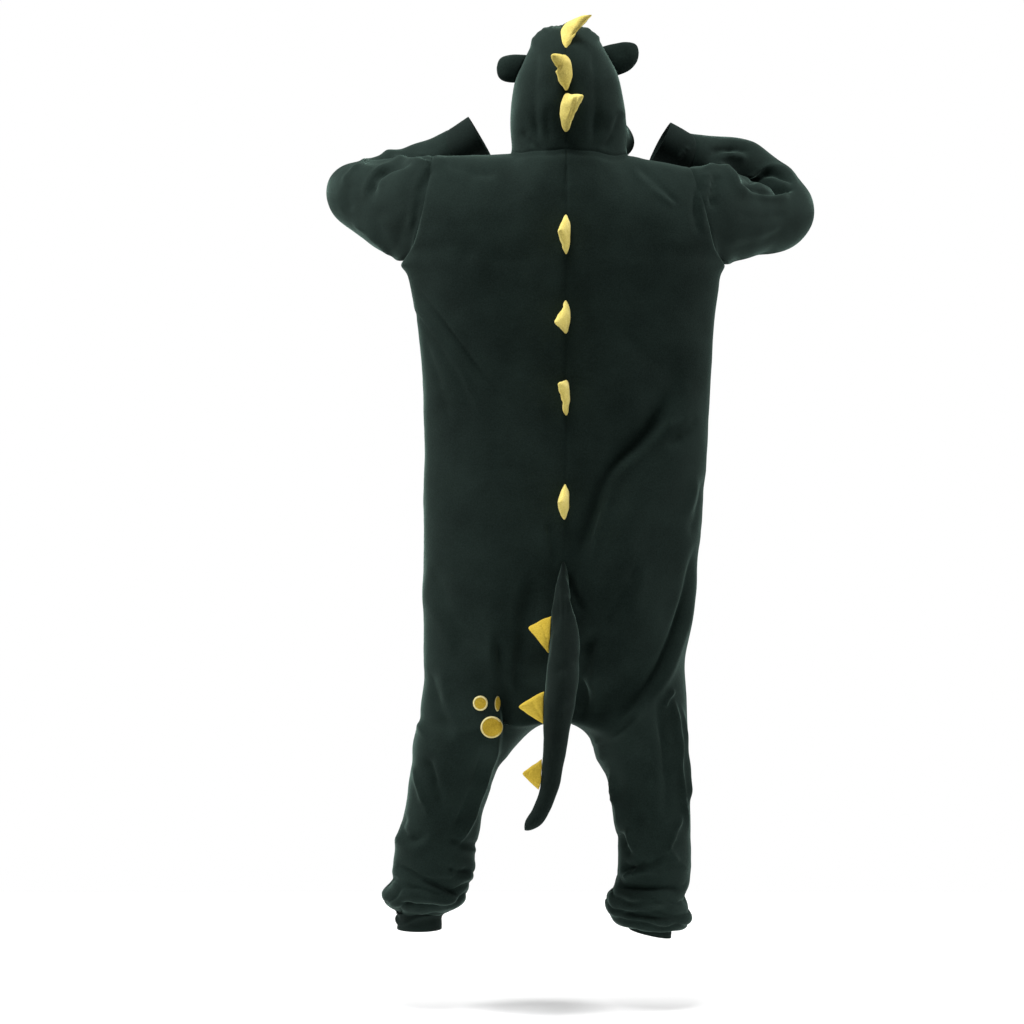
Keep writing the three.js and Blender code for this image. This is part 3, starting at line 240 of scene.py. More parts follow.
LEG_FOLDS = (
    Fold(((672, 690), (676, 730), (680, 772), (683, 808), (690, 838)), 6.0, 3.2),
    Fold(((656, 690), (662, 730), (668, 780), (664, 826)), -4.0, 7.0),
    Fold(((412, 764), (420, 790), (431, 820)), 3.6, 4.2),
    Fold(((424, 752), (436, 784), (442, 812)), -4.0, 6.5),
    Fold(((406, 812), (399, 832), (412, 842), (430, 832)), -4.0, 6.0, 2.0),
    Fold(((499, 728), (495, 758), (483, 786), (473, 812), (464, 836), (453, 852)), 5.6, 3.4),
    Fold(((506, 740), (501, 764), (490, 790)), -3.0, 3.6),
    Fold(((594, 736), (602, 750), (603, 766)), 2.4, 6.0, face=Face.BOTH),
    Fold(((608, 772), (615, 784), (614, 806)), 2.4, 4.0, face=Face.BOTH),
    Fold(((674, 688), (668, 698), (664, 708)), 4.0, 2.6),
    Fold(((682, 812), (672, 840), (665, 856)), 4.0, 3.0),
    Fold(((617, 862), (634, 870), (654, 864), (668, 852)), -3.4, 3.6, 2.0),
    Fold(((620, 878), (644, 870), (664, 874)), 2.6, 3.6),
    Fold(((486, 742), (478, 776), (466, 806), (452, 836)), -4.0, 7.0),
    Fold(((446, 868), (460, 872), (474, 870)), -4.0, 4.5, 2.0),
    Fold(((390, 862), (406, 870), (424, 880), (446, 888), (462, 897)), -5.0, 5.0, 3.0),
    Fold(((388, 882), (410, 892), (436, 902), (462, 900)), 5.0, 7.0),
    Fold(((396, 902), (420, 908), (446, 908)), -6.0, 4.0),
    Fold(((618, 830), (624, 844), (631, 858)), -4.0, 5.0, -2.0),
    Fold(((620, 870), (634, 868), (648, 860)), -4.0, 5.0, 2.0),
    Fold(((606, 892), (630, 899), (662, 900), (690, 908)), 6.0, 7.0),
    Fold(((612, 882), (640, 888), (668, 886), (688, 890)), -5.0, 5.0),
    Fold(((612, 912), (640, 916), (670, 918), (690, 920)), -5.0, 4.5),
    Fold(((610, 760), (616, 800), (620, 836)), 3.2, 4.6),
    Fold(((646, 690), (640, 712), (622, 730), (606, 742)), 3.0, 4.6),
    Fold(((680, 700), (684, 740), (688, 776), (688, 812)), 4.0, 2.8),
    Fold(((405, 700), (414, 716), (428, 742)), 2.2, 4.0),
    Fold(((448, 838), (468, 846), (482, 842)), -2.6, 4.0, 1.6),
    Fold(((668, 846), (676, 862), (690, 872)), 3.0, 4.5),
    Fold(((640, 740), (636, 790), (642, 840)), -2.5, 10.0),
)

SLEEVE_FOLDS = (
    Fold(((375, 153), (400, 153), (432, 159)), 3.5, 5.0),
    Fold(((418, 160), (395, 166), (379, 174), (372, 188), (373, 202)), -5.6, 4.2, 2.2),
    Fold(((372, 157), (354, 168), (341, 184)), 2.6, 3.0),
    Fold(((392, 154), (412, 155), (432, 161)), -2.6, 3.0, 1.4),
    Fold(((436, 162), (424, 182), (417, 208), (414, 236)), -1.9, 4.2, 1.2),
    Fold(((349, 219), (372, 238), (398, 260)), 2.5, 4.0),
    Fold(((352, 182), (346, 198), (352, 214)), -1.1, 6.0, 0.8),
    Fold(((406, 212), (399, 234), (398, 254)), -1.4, 5.0),
    Fold(((384, 206), (376, 222), (384, 240)), -1.0, 7.0),
    Fold(((702, 171), (712, 164), (722, 165), (730, 175), (739, 190), (749, 200)), 6.0, 4.2),
    Fold(((739, 182), (749, 190), (773, 192), (796, 189)), -6.5, 4.0, 3.4),
    Fold(((741, 181), (755, 181), (768, 171), (790, 177), (791, 189)), -5.4, 4.0, -3.0),
    Fold(((717, 171), (712, 190), (711, 210)), -4.5, 4.5, 2.5),
    Fold(((700, 176), (694, 200), (698, 236)), -2.6, 4.5, -1.6),
    Fold(((724, 250), (758, 244), (790, 226)), -0.9, 6.0, -0.9),
    Fold(((736, 214), (760, 220), (790, 212)), -1.2, 7.0),
    Fold(((706, 158), (722, 152), (738, 148), (752, 151)), -3.4, 5.5, 1.6),
    Fold(((689, 146), (682, 154), (678, 160)), 1.8, 2.4),
    Fold(((707, 152), (730, 146), (752, 152)), -3.0, 5.0, 2.0),
)

HOOD_FOLDS = (
    Fold(((550, 28), (539, 32), (534, 40), (532, 50)), 2.2, 3.4, face=Face.BOTH),
    Fold(((551, 25), (559, 23), (568, 24)), -2.4, 5.0, face=Face.BOTH),
    Fold(((583, 26), (594, 32), (600, 42)), 1.6, 3.0, face=Face.BOTH),
    Fold(((538, 44), (534, 80), (534, 120), (540, 150)), -2.6, 6.5),
    Fold(((592, 44), (597, 80), (597, 120), (592, 150)), -3.0, 6.5),
    Fold(((520, 128), (528, 142), (546, 152)), -2.0, 4.0),
    Fold(((622, 110), (614, 134), (602, 150)), -2.2, 5.0, 1.2),
    Fold(((550, 104), (546, 124), (552, 146)), -1.4, 5.0),
)

SPIKE_FOLDS = on(
    Face.BOTH,
    Fold(((549, 73), (556, 69), (563, 64)), -2.4, 1.8, 1.2),
    Fold(((556, 66), (560, 76), (561, 88)), 1.4, 1.8),
    Fold(((577, 95), (574, 106), (568, 122)), -1.5, 2.0, 0.8),
    Fold(((587, 18), (580, 27), (570, 38)), -1.3, 2.0, -0.9),
    Fold(((560, 318), (561, 310), (563, 304)), -1.3, 1.8),
    Fold(((559, 392), (562, 402), (560, 411)), -1.4, 1.6),
    Fold(((558, 226), (563, 236), (562, 248)), -1.2, 1.8),
    Fold(((541, 622), (545, 634), (549, 646)), -1.0, 2.0),
    Fold(((530, 700), (538, 712), (542, 720)), -1.0, 2.0),
)


TAIL_FOLDS = (
    Fold(((565, 594), (569, 608), (573, 624)), 3.0, 4.0),
    Fold(((570, 596), (577, 608), (582, 620)), -2.6, 4.4),
    Fold(((557, 585), (558, 612), (555, 640)), -2.2, 6.0),
    Fold(((584, 655), (572, 668), (552, 672)), -2.0, 6.0),
    Fold(((574, 704), (564, 712), (549, 715)), -1.2, 6.0),
    Fold(((566, 742), (558, 751), (546, 755)), -1.0, 6.0),
    Fold(((558, 778), (548, 787), (538, 790)), -1.0, 6.0),
)


@dataclass(frozen=True)
class Gather:
    """Cloth that stacks up in uneven rolls round a leg above its cuff. Heights in millimetres."""

    side: int  # -1 for the wearer's left leg, 1 for the right
    top: float
    bottom: float
    roll: float  # from one crease to the next
    high: float
    slope: float = 0.0  # how much the rolls drop over the leg's width
    seed: float = 2.0

    def height(self, places: np.ndarray) -> np.ndarray:
        """How far the rolls lift the cloth.

        Args:
            places: rows of x, y, z in metres.

        Returns:
            Metres along the normal for each point.
        """
        height = np.zeros(len(places))
        near = (places[:, 0] * self.side > 0) & (places[:, 2] < (self.top + 20) * MM)
        here = places[near]
        level = here[:, 2] / MM + self.slope * (here[:, 0] / MM) * 0.01
        strays = 0.75 * wander(here, 0.075, self.seed) + 0.3 * wander(here, 0.03, self.seed + 4)
        turns = math.pi * ((self.top - level) / self.roll + strays)
        rolls = np.abs(np.sin(turns)) ** 0.7 - 0.6
        strength = 1 + 0.7 * wander(here, 0.09, self.seed + 9)
        share = smoothstep(0.0, 0.45, (self.top - level) / (self.top - self.bottom))
        share *= smoothstep(0.0, 0.14, (level - self.bottom) / (self.top - self.bottom))
        height[near] = MM * self.high * rolls * strength * share
        return height


GATHERS = (
    Gather(-1, -1235, -1352, 25, 5.5, slope=-12, seed=2.0),
    Gather(1, -1262, -1384, 24, 5.5, slope=8, seed=6.0),
)

FRONT_FOLDS = on(
    Face.FRONT,
    Fold(((455, 300), (480, 380), (505, 452)), -5.0, 9.0, 3.0),
    Fold(((672, 300), (652, 380), (618, 462), (600, 540)), -6.0, 9.0, -3.5),
    Fold(((440, 520), (470, 600), (520, 660)), -5.0, 10.0, 3.0),
    Fold(((690, 560), (660, 640), (610, 700)), -6.0, 9.0, -4.0),
    Fold(((540, 610), (530, 660), (548, 716)), -4.5, 8.0, 2.0),
    Fold(((596, 600), (606, 660), (590, 718)), -4.5, 8.0, -2.0),
    Fold(((470, 200), (510, 216), (550, 208)), -3.0, 8.0, 2.0),
    Fold(((662, 196), (626, 216), (584, 210)), -3.0, 8.0, -2.0),
    Fold(((425, 770), (440, 800), (434, 850)), -4.0, 7.0, 2.0),
    Fold(((480, 760), (470, 806), (450, 850)), 4.0, 7.0),
    Fold(((660, 700), (668, 760), (660, 830)), -4.0, 7.0, -2.0),
    Fold(((620, 770), (626, 820), (634, 862)), 4.0, 7.0),
    Fold(((392, 872), (420, 886), (458, 884)), -5.0, 5.0, 3.0),
    Fold(((612, 886), (650, 896), (688, 890)), -5.0, 5.0, 3.0),
    Fold(((380, 168), (366, 190), (372, 214)), -4.0, 6.0, 2.0),
    Fold(((752, 160), (776, 178), (784, 204)), -4.0, 6.0, 2.0),
)


def add_node(
    tree: bpy.types.NodeTree,
    kind: str,
    values: dict[str | int, float],
    feeds: dict[str | int, bpy.types.NodeSocket],
) -> bpy.types.Node:
    """A new shader node with its values and links.

    Args:
        tree: the node tree it joins.
        kind: the node's type.
        values: a constant for each input named.
        feeds: a socket to link to each input named.

    Returns:
        The node.
    """
    node = tree.nodes.new(kind)
    for name, value in values.items():
        node.inputs[name].default_value = value
    for name, socket in feeds.items():
        tree.links.new(socket, node.inputs[name])
    return node


def new_material(name: str, values: dict[str, float | tuple]) -> tuple[bpy.types.Material, bpy.types.Node]:
    """A new material and its shader, with constants set on the shader."""
    material = bpy.data.materials.new(name)
    material.use_nodes = True
    shader = material.node_tree.nodes["Principled BSDF"]
    for socket, value in values.items():
        shader.inputs[socket].default_value = value
    return material, shader


@dataclass(frozen=True)
class Fleece:
    """Brushed fleece: a short matt nap with a soft sheen where it is seen at a slant."""

    name: str
    dark: tuple[float, float, float]
    light: tuple[float, float, float]
    sheen: float
    sheen_tint: tuple[float, float, float]
    nap: float = 0.35
    rough: float = 0.93
    shine: float = 0.12
    sheen_rough: float = 0.3
    waves: tuple[tuple[float, float], ...] = ((16, 3), (420, 3), (900, 2))  # a metre, and octaves
    relief: tuple[float, float] = (0.0011, 0.0006)  # metres, of the flecks and of the tufts

    def make(self) -> bpy.types.Material:
        """Builds the material.

        Returns:
            A node material on Object coordinates.
        """
        material, shader = new_material(
            self.name,
            {
                "Roughness": self.rough,
                "Specular IOR Level": self.shine,
                "Sheen Weight": self.sheen,
                "Sheen Roughness": self.sheen_rough,
                "Sheen Tint": (*self.sheen_tint, 1),
            },
        )
        tree = material.node_tree
        place = add_node(tree, "ShaderNodeTexCoord", {}, {}).outputs["Object"]
        noises = (
            add_node(tree, "ShaderNodeTexNoise", {"Scale": scale, "Detail": octaves}, {"Vector": place})
            for scale, octaves in self.waves
        )
        patches, flecks, tufts = (texture.outputs["Fac"] for texture in noises)
        half = add_node(tree, "ShaderNodeMath", {1: 0.55}, {0: flecks})
        half.operation = "MULTIPLY"
        blend = add_node(tree, "ShaderNodeMath", {1: 0.45}, {0: patches, 2: half.outputs[0]})
        blend.operation = "MULTIPLY_ADD"
        ramp = add_node(tree, "ShaderNodeValToRGB", {}, {"Fac": blend.outputs[0]})
        stops = zip(ramp.color_ramp.elements, (0.34, 0.68), (self.dark, self.light))
        for stop, position, colour in stops:
            stop.position = position
            stop.color = (*colour, 1)
        tree.links.new(ramp.outputs["Color"], shader.inputs["Base Color"])
        low, fine = self.relief
        coarse = add_node(tree, "ShaderNodeBump", {"Strength": self.nap, "Distance": low}, {"Height": flecks})
        surface = add_node(
            tree,
            "ShaderNodeBump",
            {"Strength": self.nap * 0.8, "Distance": fine},
            {"Height": tufts, "Normal": coarse.outputs["Normal"]},
        )
        tree.links.new(surface.outputs["Normal"], shader.inputs["Normal"])
        return material


@dataclass(frozen=True)
class MouldedButton:
    """Dark moulded plastic of the buttons."""

    name: str
    colour: tuple[float, float, float]

    def make(self) -> bpy.types.Material:
        """Builds the material.

        Returns:
            A node material on Object coordinates.
        """
        material, shader = new_material(self.name, {"Base Color": (*self.colour, 1)})
        tree = material.node_tree
        place = add_node(tree, "ShaderNodeTexCoord", {}, {}).outputs["Object"]
        texture = add_node(tree, "ShaderNodeTexNoise", {"Scale": 260}, {"Vector": place})
        limits = {"To Min": 0.32, "To Max": 0.5}
        spread = add_node(tree, "ShaderNodeMapRange", limits, {"Value": texture.outputs["Fac"]})
        tree.links.new(spread.outputs["Result"], shader.inputs["Roughness"])
        return material


GREEN = Fleece("green_fleece", (0.0052, 0.0115, 0.0092), (0.0125, 0.0235, 0.0195), 0.42, (0.42, 0.66, 0.56))
# Painted shade: a darker copy of the green fleece with less sheen, for the tail, which hangs facing down out
# of the light.
PAINTED_SHADE_GREEN = Fleece("tail_fleece", (0.0036, 0.008, 0.0065), (0.0085, 0.0155, 0.013), 0.26, (0.42, 0.66, 0.56))
BAND = Fleece("green_band", (0.0045, 0.0095, 0.0078), (0.0105, 0.019, 0.016), 0.14, (0.42, 0.66, 0.56))
YELLOW = Fleece("yellow_fleece", (0.50, 0.34, 0.032), (0.72, 0.53, 0.07), 0.2, (1.0, 0.92, 0.6), 0.7)
SPOT = Fleece("spot_fleece", (0.40, 0.265, 0.022), (0.62, 0.43, 0.045), 0.15, (1.0, 0.9, 0.6), 0.6)
# Painted light: a paler, brighter copy of the yellow fleece for the hood and back spikes, which catch the top
# light.
PAINTED_LIGHT_YELLOW = Fleece("yellow_fleece_painted_light", (0.60, 0.47, 0.10), (0.90, 0.77, 0.24), 0.3, (1.0, 0.94, 0.7), 0.7)
THREAD = Fleece("yellow_thread", (0.72, 0.62, 0.26), (0.86, 0.78, 0.42), 0.2, (1.0, 0.97, 0.8), 0.2)
BUTTON = MouldedButton("dark_button", (0.008, 0.016, 0.013))


def new_object(name: str, mesh: bpy.types.Mesh) -> bpy.types.Object:
    """Links a mesh into the scene as an object at the origin."""
    made = bpy.data.objects.new(name, mesh)
    bpy.context.scene.collection.objects.link(made)
    return made


def evaluated(piece: bpy.types.Object) -> bpy.types.Mesh:
    """A new mesh of a piece with its modifiers applied."""
    graph = bpy.context.evaluated_depsgraph_get()
    graph.update()
    return bpy.data.meshes.new_from_object(piece.evaluated_get(graph), depsgraph=graph)


def wear(piece: bpy.types.Object, finish: bpy.types.Material) -> None:
    """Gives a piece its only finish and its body.

    Args:
        piece: the finished piece.
        finish: its material.
    """
    piece.data.materials.clear()
    piece.data.materials.append(finish)
    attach(piece, "root")


def tree_of(mesh: bpy.types.Mesh) -> BVHTree:
    """A mesh's faces, ready to be met by straight lines."""
    places = [v.co.copy() for v in mesh.vertices]
    return BVHTree.FromPolygons(places, [tuple(p.vertices) for p in mesh.polygons])


def to_piece(name: str, shape: bmesh.types.BMesh) -> bpy.types.Object:
    """Makes a smooth-shaded piece of a bmesh, which it frees.

    Args:
        name: the piece's name.
        shape: its form in its place.

    Returns:
        The piece's object.
    """
    for face in shape.faces:
        face.smooth = True
    mesh = bpy.data.meshes.new(name)
    shape.to_mesh(mesh)
    shape.free()
    return new_object(name, mesh)


def thicken(piece: bpy.types.Object, thickness: float, offset: float) -> None:
    """Gives a skin its thickness, outwards with offset 1 and inwards with -1, with crisp cut edges."""
    wall = piece.modifiers.new("thickness", "SOLIDIFY")
    wall.thickness = thickness
    wall.offset = offset
    skin, piece.data = piece.data, evaluated(piece)
    piece.modifiers.clear()
    bpy.data.meshes.remove(skin)
    piece.data.set_sharp_from_angle(angle=math.radians(CUT_EDGE))


def face_towards(skin: bmesh.types.BMesh, out: Vector) -> None:
    """Turns a skin's faces so that most of them look the given way."""
    bmesh.ops.recalc_face_normals(skin, faces=skin.faces)
    skin.normal_update()
    if sum(f.calc_area() * f.normal.dot(out) for f in skin.faces) < 0:
        bmesh.ops.reverse_faces(skin, faces=skin.faces)


def lay(skin: bmesh.types.BMesh, cloth: BVHTree, side: float, gap: float, rounds: int = 6) -> None:
    """Lets a skin down on the cloth from the front or the back, bridging small hollows.

    Args:
        skin: the skin, whose points keep their column and height.
        cloth: the surface it lies on.
        side: 1 from the front, -1 from the back.
        gap: least distance kept from the cloth, in metres.
        rounds: how often the skin is drawn smooth.
    """
    rest = {}
    for v in skin.verts:
        hit = cloth.ray_cast(Vector((v.co.x, side, v.co.z)), Vector((0, -side, 0)))[0]
        rest[v] = hit.y + side * gap if hit else None
    known = [y for y in rest.values() if y is not None]
    middle = sum(known) / len(known)
    level = {v: middle if y is None else y for v, y in rest.items()}
    for _ in range(rounds):
        drawn = {}
        for v in skin.verts:
            others = [level[e.other_vert(v)] for e in v.link_edges]
            drawn[v] = 0.5 * level[v] + 0.5 * sum(others) / len(others)
        level = {v: y if rest[v] is None else side * max(side * y, side * rest[v]) for v, y in drawn.items()}
    for v, y in level.items():
        v.co.y = y


def merged_copy(node: str) -> bmesh.types.BMesh:
    """A CAD node's mesh with its loose triangles joined.

    Args:
        node: the node's name.

    Returns:
        A bmesh that the caller frees.
    """
    shape = bmesh.new()
    shape.from_mesh(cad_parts[node].data)
    bmesh.ops.remove_doubles(shape, verts=shape.verts, dist=SAME_POINT)
    return shape


def smooth_through(mesh: bpy.types.Mesh, levels: int, rounds: int = 3) -> bpy.types.Mesh:
    """Subdivides a mesh so that its smooth surface still passes through its own points.

    Args:
        mesh: the coarse mesh.
        levels: subdivision levels of the result.
        rounds: corrections of the control points.

    Returns:
        The fine mesh.
    """
    target = positions(mesh)
    control = target.copy()
    helper = new_object("helper", mesh)
    subdivide = helper.modifiers.new("smooth", "SUBSURF")
    subdivide.levels = subdivide.render_levels = 1
    subdivide.use_limit_surface = True
    for _ in range(rounds):
        reached = evaluated(helper)
        control += 0.8 * (target - positions(reached)[: len(target)])
        away = control - target
        far = np.maximum(np.linalg.norm(away, axis=1, keepdims=True) / (6 * MM), 1.0)
        control = target + away / far
        move(mesh, control)
        bpy.data.meshes.remove(reached)
    subdivide.levels = subdivide.render_levels = levels
    fine = evaluated(helper)
    bpy.data.objects.remove(helper)
    return fine


@dataclass(frozen=True)
class Ease:
    """An underarm corner that the cloth fills out. Pixels, and a push in millimetres."""

    at: tuple[float, float]
    radius: float
    push: tuple[float, float]  # to the wearer's right, and up

    def shift(self, pixels: np.ndarray) -> np.ndarray:
        """How far each point moves, in metres along x, y and z."""
        away = np.linalg.norm(pixels - np.array(self.at), axis=1)
        across, up = self.push
        return np.exp(-((away / self.radius) ** 2))[:, None] * np.array([across, 0.0, up]) * MM


EASES = (Ease((402, 260), 9, (-9, -6)), Ease((723, 261), 8, (9, -4)))


class Held(Enum):
    """How a cut piece of cloth is held in the garment."""

    DRAPED = "draped"
    GATHERED = "gathered"


@dataclass(frozen=True)
class Cut:
    """A panel as it was cut: its flat width and length and area, and what it is sewn to."""

    flat: tuple[float, float]
    area: float
    sewn_to: tuple[str, ...]
    held: Held = Held.DRAPED


@dataclass
class ClothShells:
    """The cut panels of the garment, joined while they are smoothed and folded, then parted again."""

    nodes: tuple[str, ...]
    levels: int = 3
    seam_depth: float = 1.7  # millimetres
    seam_width: float = 2.2  # millimetres
    folds: tuple[Fold, ...] = BODY_FOLDS + LEG_FOLDS + SLEEVE_FOLDS + HOOD_FOLDS + FRONT_FOLDS
    gathers: tuple[Gather, ...] = GATHERS
    made: dict[str, bpy.types.Object] = field(default_factory=dict)
    surface: BVHTree | None = None

    def outer_skin(self, node: str) -> bmesh.types.BMesh:
        """The outer face of a panel's wall as clean quads.

        Args:
            node: the panel's CAD node.

        Returns:
            A bmesh of one open skin.
        """
        wall = merged_copy(node)
        rim = [f for f in wall.faces if min(e.calc_length() for e in f.edges) < 1.15 * FLEECE_THICK]
        bmesh.ops.delete(wall, geom=rim, context="FACES")
        skins = self.islands(wall)
        skins.sort(key=lambda skin: sum(f.calc_area() for f in skin), reverse=True)
        rest = [f for skin in skins[1:] for f in skin]
        bmesh.ops.delete(wall, geom=rest, context="FACES")
        loose = [v for v in wall.verts if not v.link_faces]
        bmesh.ops.delete(wall, geom=loose, context="VERTS")
        self.drop_diagonals(wall)
        return wall

    @staticmethod
    def islands(shape: bmesh.types.BMesh) -> list[list[bmesh.types.BMFace]]:
        """Groups of faces that hang together over their edges."""
        groups, seen = [], set()
        for first in shape.faces:
            if first in seen:
                continue
            seen.add(first)
            group, waiting = [], [first]
            while waiting:
                face = waiting.pop()
                group.append(face)
                for edge in face.edges:
                    for other in edge.link_faces:
                        if other not in seen:
                            seen.add(other)
                            waiting.append(other)
            groups.append(group)
        return groups

    @staticmethod
    def drop_diagonals(skin: bmesh.types.BMesh) -> None:
        """Joins the triangle pairs of a regular grid into its quads.

        Args:
            skin: a grid of triangles, each quad cut the same way.
        """
        kind: dict[bmesh.types.BMEdge, int] = {}
        skin.faces.ensure_lookup_table()
        first = skin.faces[0]
        for number, edge in enumerate(first.edges):
            kind[edge] = number
        waiting, seen = [first], {first}
        while waiting:
            face = waiting.pop()
            for shared in face.edges:
                for other in shared.link_faces:
                    if other in seen:
                        continue
                    seen.add(other)
                    waiting.append(other)
                    for edge in other.edges:
                        if edge is shared:
                            continue
                        common = next(v for v in edge.verts if v in shared.verts)
                        opposite = next(e for e in face.edges if common not in e.verts)
                        kind[edge] = kind[opposite]
        lengths: list[list[float]] = [[], [], []]
        for edge, number in kind.items():
            lengths[number].append(edge.calc_length())
        means = [sum(group) / len(group) for group in lengths]
        longest = means.index(max(means))
        diagonals = [e for e, number in kind.items() if number == longest and len(e.link_faces) == 2]
        bmesh.ops.dissolve_edges(skin, edges=diagonals, use_verts=False)

    def join(self) -> bpy.types.Mesh:
        """All panels in one skin, sewn together point to point, each face marked with its panel."""
        whole = bmesh.new()
        for number, node in enumerate(self.nodes):
            skin = self.outer_skin(node)
            for face in skin.faces:
                face.material_index = number
                face.smooth = True
            part = bpy.data.meshes.new(node)
            skin.to_mesh(part)
            skin.free()
            whole.from_mesh(part)
            bpy.data.meshes.remove(part)
        bmesh.ops.remove_doubles(whole, verts=whole.verts, dist=SEWN * MM)
        mesh = bpy.data.meshes.new("skin")
        whole.to_mesh(mesh)
        whole.free()
        return mesh

    def fold(self, mesh: bpy.types.Mesh) -> None:
        """Moves the skin into its creases, rolls, waves and seams."""
        places, facing = positions(mesh), normals(mesh)
        pixels = to_pixels(places)
        height = np.zeros(len(places))
        for fold in self.folds:
            height += fold.height(pixels, facing[:, 1])
        height += MM * (1.8 * wander(places, 0.11, 3.0) + 0.8 * wander(places, 0.04, 9.0))
        for gather in self.gathers:
            height += gather.height(places)
        height += self.seams(mesh, places)
        eased = sum(ease.shift(pixels) for ease in EASES)
        move(mesh, places + facing * height[:, None] + eased)

    def seams(self, mesh: bpy.types.Mesh, places: np.ndarray) -> np.ndarray:
        """The shallow groove and the small puckers along each seam.

        Args:
            mesh: the joined skin.
            places: its vertices.

        Returns:
            Metres along the normal for each vertex.
        """
        shape = bmesh.new()
        shape.from_mesh(mesh)
        seam = sorted(
            {
                v.index
                for e in shape.edges
                if len(e.link_faces) == 2 and e.link_faces[0].material_index != e.link_faces[1].material_index
                for v in e.verts
            }
        )
        shape.free()
        tree = KDTree(len(seam))
        for index in seam:
            tree.insert(places[index], index)
        tree.balance()
        distance = np.array([tree.find(Vector(p))[2] for p in places]) / MM
        groove = -self.seam_depth * np.exp(-((distance / self.seam_width) ** 2))
        pucker = 0.5 * wander(places, 0.016, 21.0) * np.exp(-((distance / 11.0) ** 2))
        return MM * (groove + pucker)

    def part(self, mesh: bpy.types.Mesh) -> None:
        """Cuts the joined skin back into its panels and gives each its thickness."""
        for number, node in enumerate(self.nodes):
            panel = bmesh.new()
            panel.from_mesh(mesh)
            others = [f for f in panel.faces if f.material_index != number]
            bmesh.ops.delete(panel, geom=others, context="FACES")
            for face in panel.faces:
                face.material_index = 0
            cloth = bpy.data.meshes.new(f"{node}_cloth")
            panel.to_mesh(cloth)
            panel.free()
            piece = new_object(f"{node}_cloth", cloth)
            thicken(piece, FLEECE_THICK, -1)
            self.made[node] = piece

    def build(self) -> None:
        """Makes every panel, from the sewn skin to the thick cloth."""
        coarse = self.join()
        fine = smooth_through(coarse, self.levels)
        self.fold(fine)
        self.surface = tree_of(fine)
        self.part(fine)
        bpy.data.meshes.remove(fine)

    def dress(self, green: bpy.types.Material, band: bpy.types.Material) -> None:
        """Gives each panel its finish and its place in the frame, and hides its CAD node."""
        for node, piece in self.made.items():
            is_band = "cuff" in node
            wear(piece, band if is_band else green)
            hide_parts(node)


@dataclass
class Spot:
    """A round fleece patch on the left leg, with a satin-stitched edge. Sizes in millimetres."""

    node: str
    across: float
    up: float
    radius: float
    lift: float = 0.6
    thick: float = 1.2
    rim: float = 1.5
    proud: float = 0.9
    stitch: float = 0.95  # from one stitch to the next
    satin: float = 0.3  # thickness of the stitching
    seen: float = 1.0  # share of its width that shows where it lies down the side of a fold
    rounds: int = 6
    patch: bpy.types.Object | None = None
    stitches: bpy.types.Object | None = None

    def build(self, cloth: BVHTree) -> None:
        """Lays the patch and its stitched edge on the folded cloth.

        Args:
            cloth: the surface of the folded cloth.
        """
        disc = bmesh.new()
        bmesh.ops.create_grid(disc, x_segments=28, y_segments=28, size=1)
        for v in disc.verts:
            u, w = v.co.x, v.co.y
            v.co = Vector((u * math.sqrt(1 - w * w / 2), 0, w * math.sqrt(1 - u * u / 2)))
        size = self.radius * MM
        bmesh.ops.scale(disc, verts=disc.verts, vec=(self.seen * size, size, size))
        bmesh.ops.translate(disc, verts=disc.verts, vec=(self.across * MM, 0, self.up * MM))
        lay(disc, cloth, -1, self.lift * MM, self.rounds)
        face_towards(disc, Vector((0, -1, 0)))
        self.patch = to_piece(f"{self.node}_patch", disc)
        thicken(self.patch, self.thick * MM, 1)
        self.stitches = to_piece(f"{self.node}_stitched_edge", self.edge(cloth))
        thicken(self.stitches, self.satin * MM, -1)

    def edge(self, cloth: BVHTree) -> bmesh.types.BMesh:
        """The satin stitches over the patch's edge, as one ridged band.

        Args:
            cloth: the surface of the folded cloth.

        Returns:
            The band as an open skin.
        """
        count = round(2 * math.pi * self.radius / self.stitch)
        band = bmesh.new()
        bmesh.ops.create_grid(band, x_segments=4 * count, y_segments=8, size=1)
        place = {}
        for v in band.verts:
            turn, w = math.pi * (v.co.x + 1), v.co.y
            ridge = 0.78 + 0.22 * math.cos(count * turn + 0.9 * w)
            over = float(smoothstep(-0.55, 0.35, np.array(-w)))
            place[v] = (self.thick * over + self.proud * math.sqrt(max(0.0, 1 - w * w)) * ridge) * MM
            reach = (self.radius + self.rim * w + 0.12 * math.sin(count * turn * 0.5)) * MM
            aside = self.seen * reach * math.sin(turn)
            v.co = Vector((self.across * MM + aside, 0, self.up * MM + reach * math.cos(turn)))
        lay(band, cloth, -1, self.lift * MM, self.rounds)
        for v, height in place.items():
            v.co.y -= height
        bmesh.ops.remove_doubles(band, verts=band.verts, dist=0.01 * MM)
        face_towards(band, Vector((0, -1, 0)))
        return band

    def dress(self, patch: bpy.types.Material, thread: bpy.types.Material) -> None:
        for piece, finish in ((self.patch, patch), (self.stitches, thread)):
            wear(piece, finish)
        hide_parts(self.node)


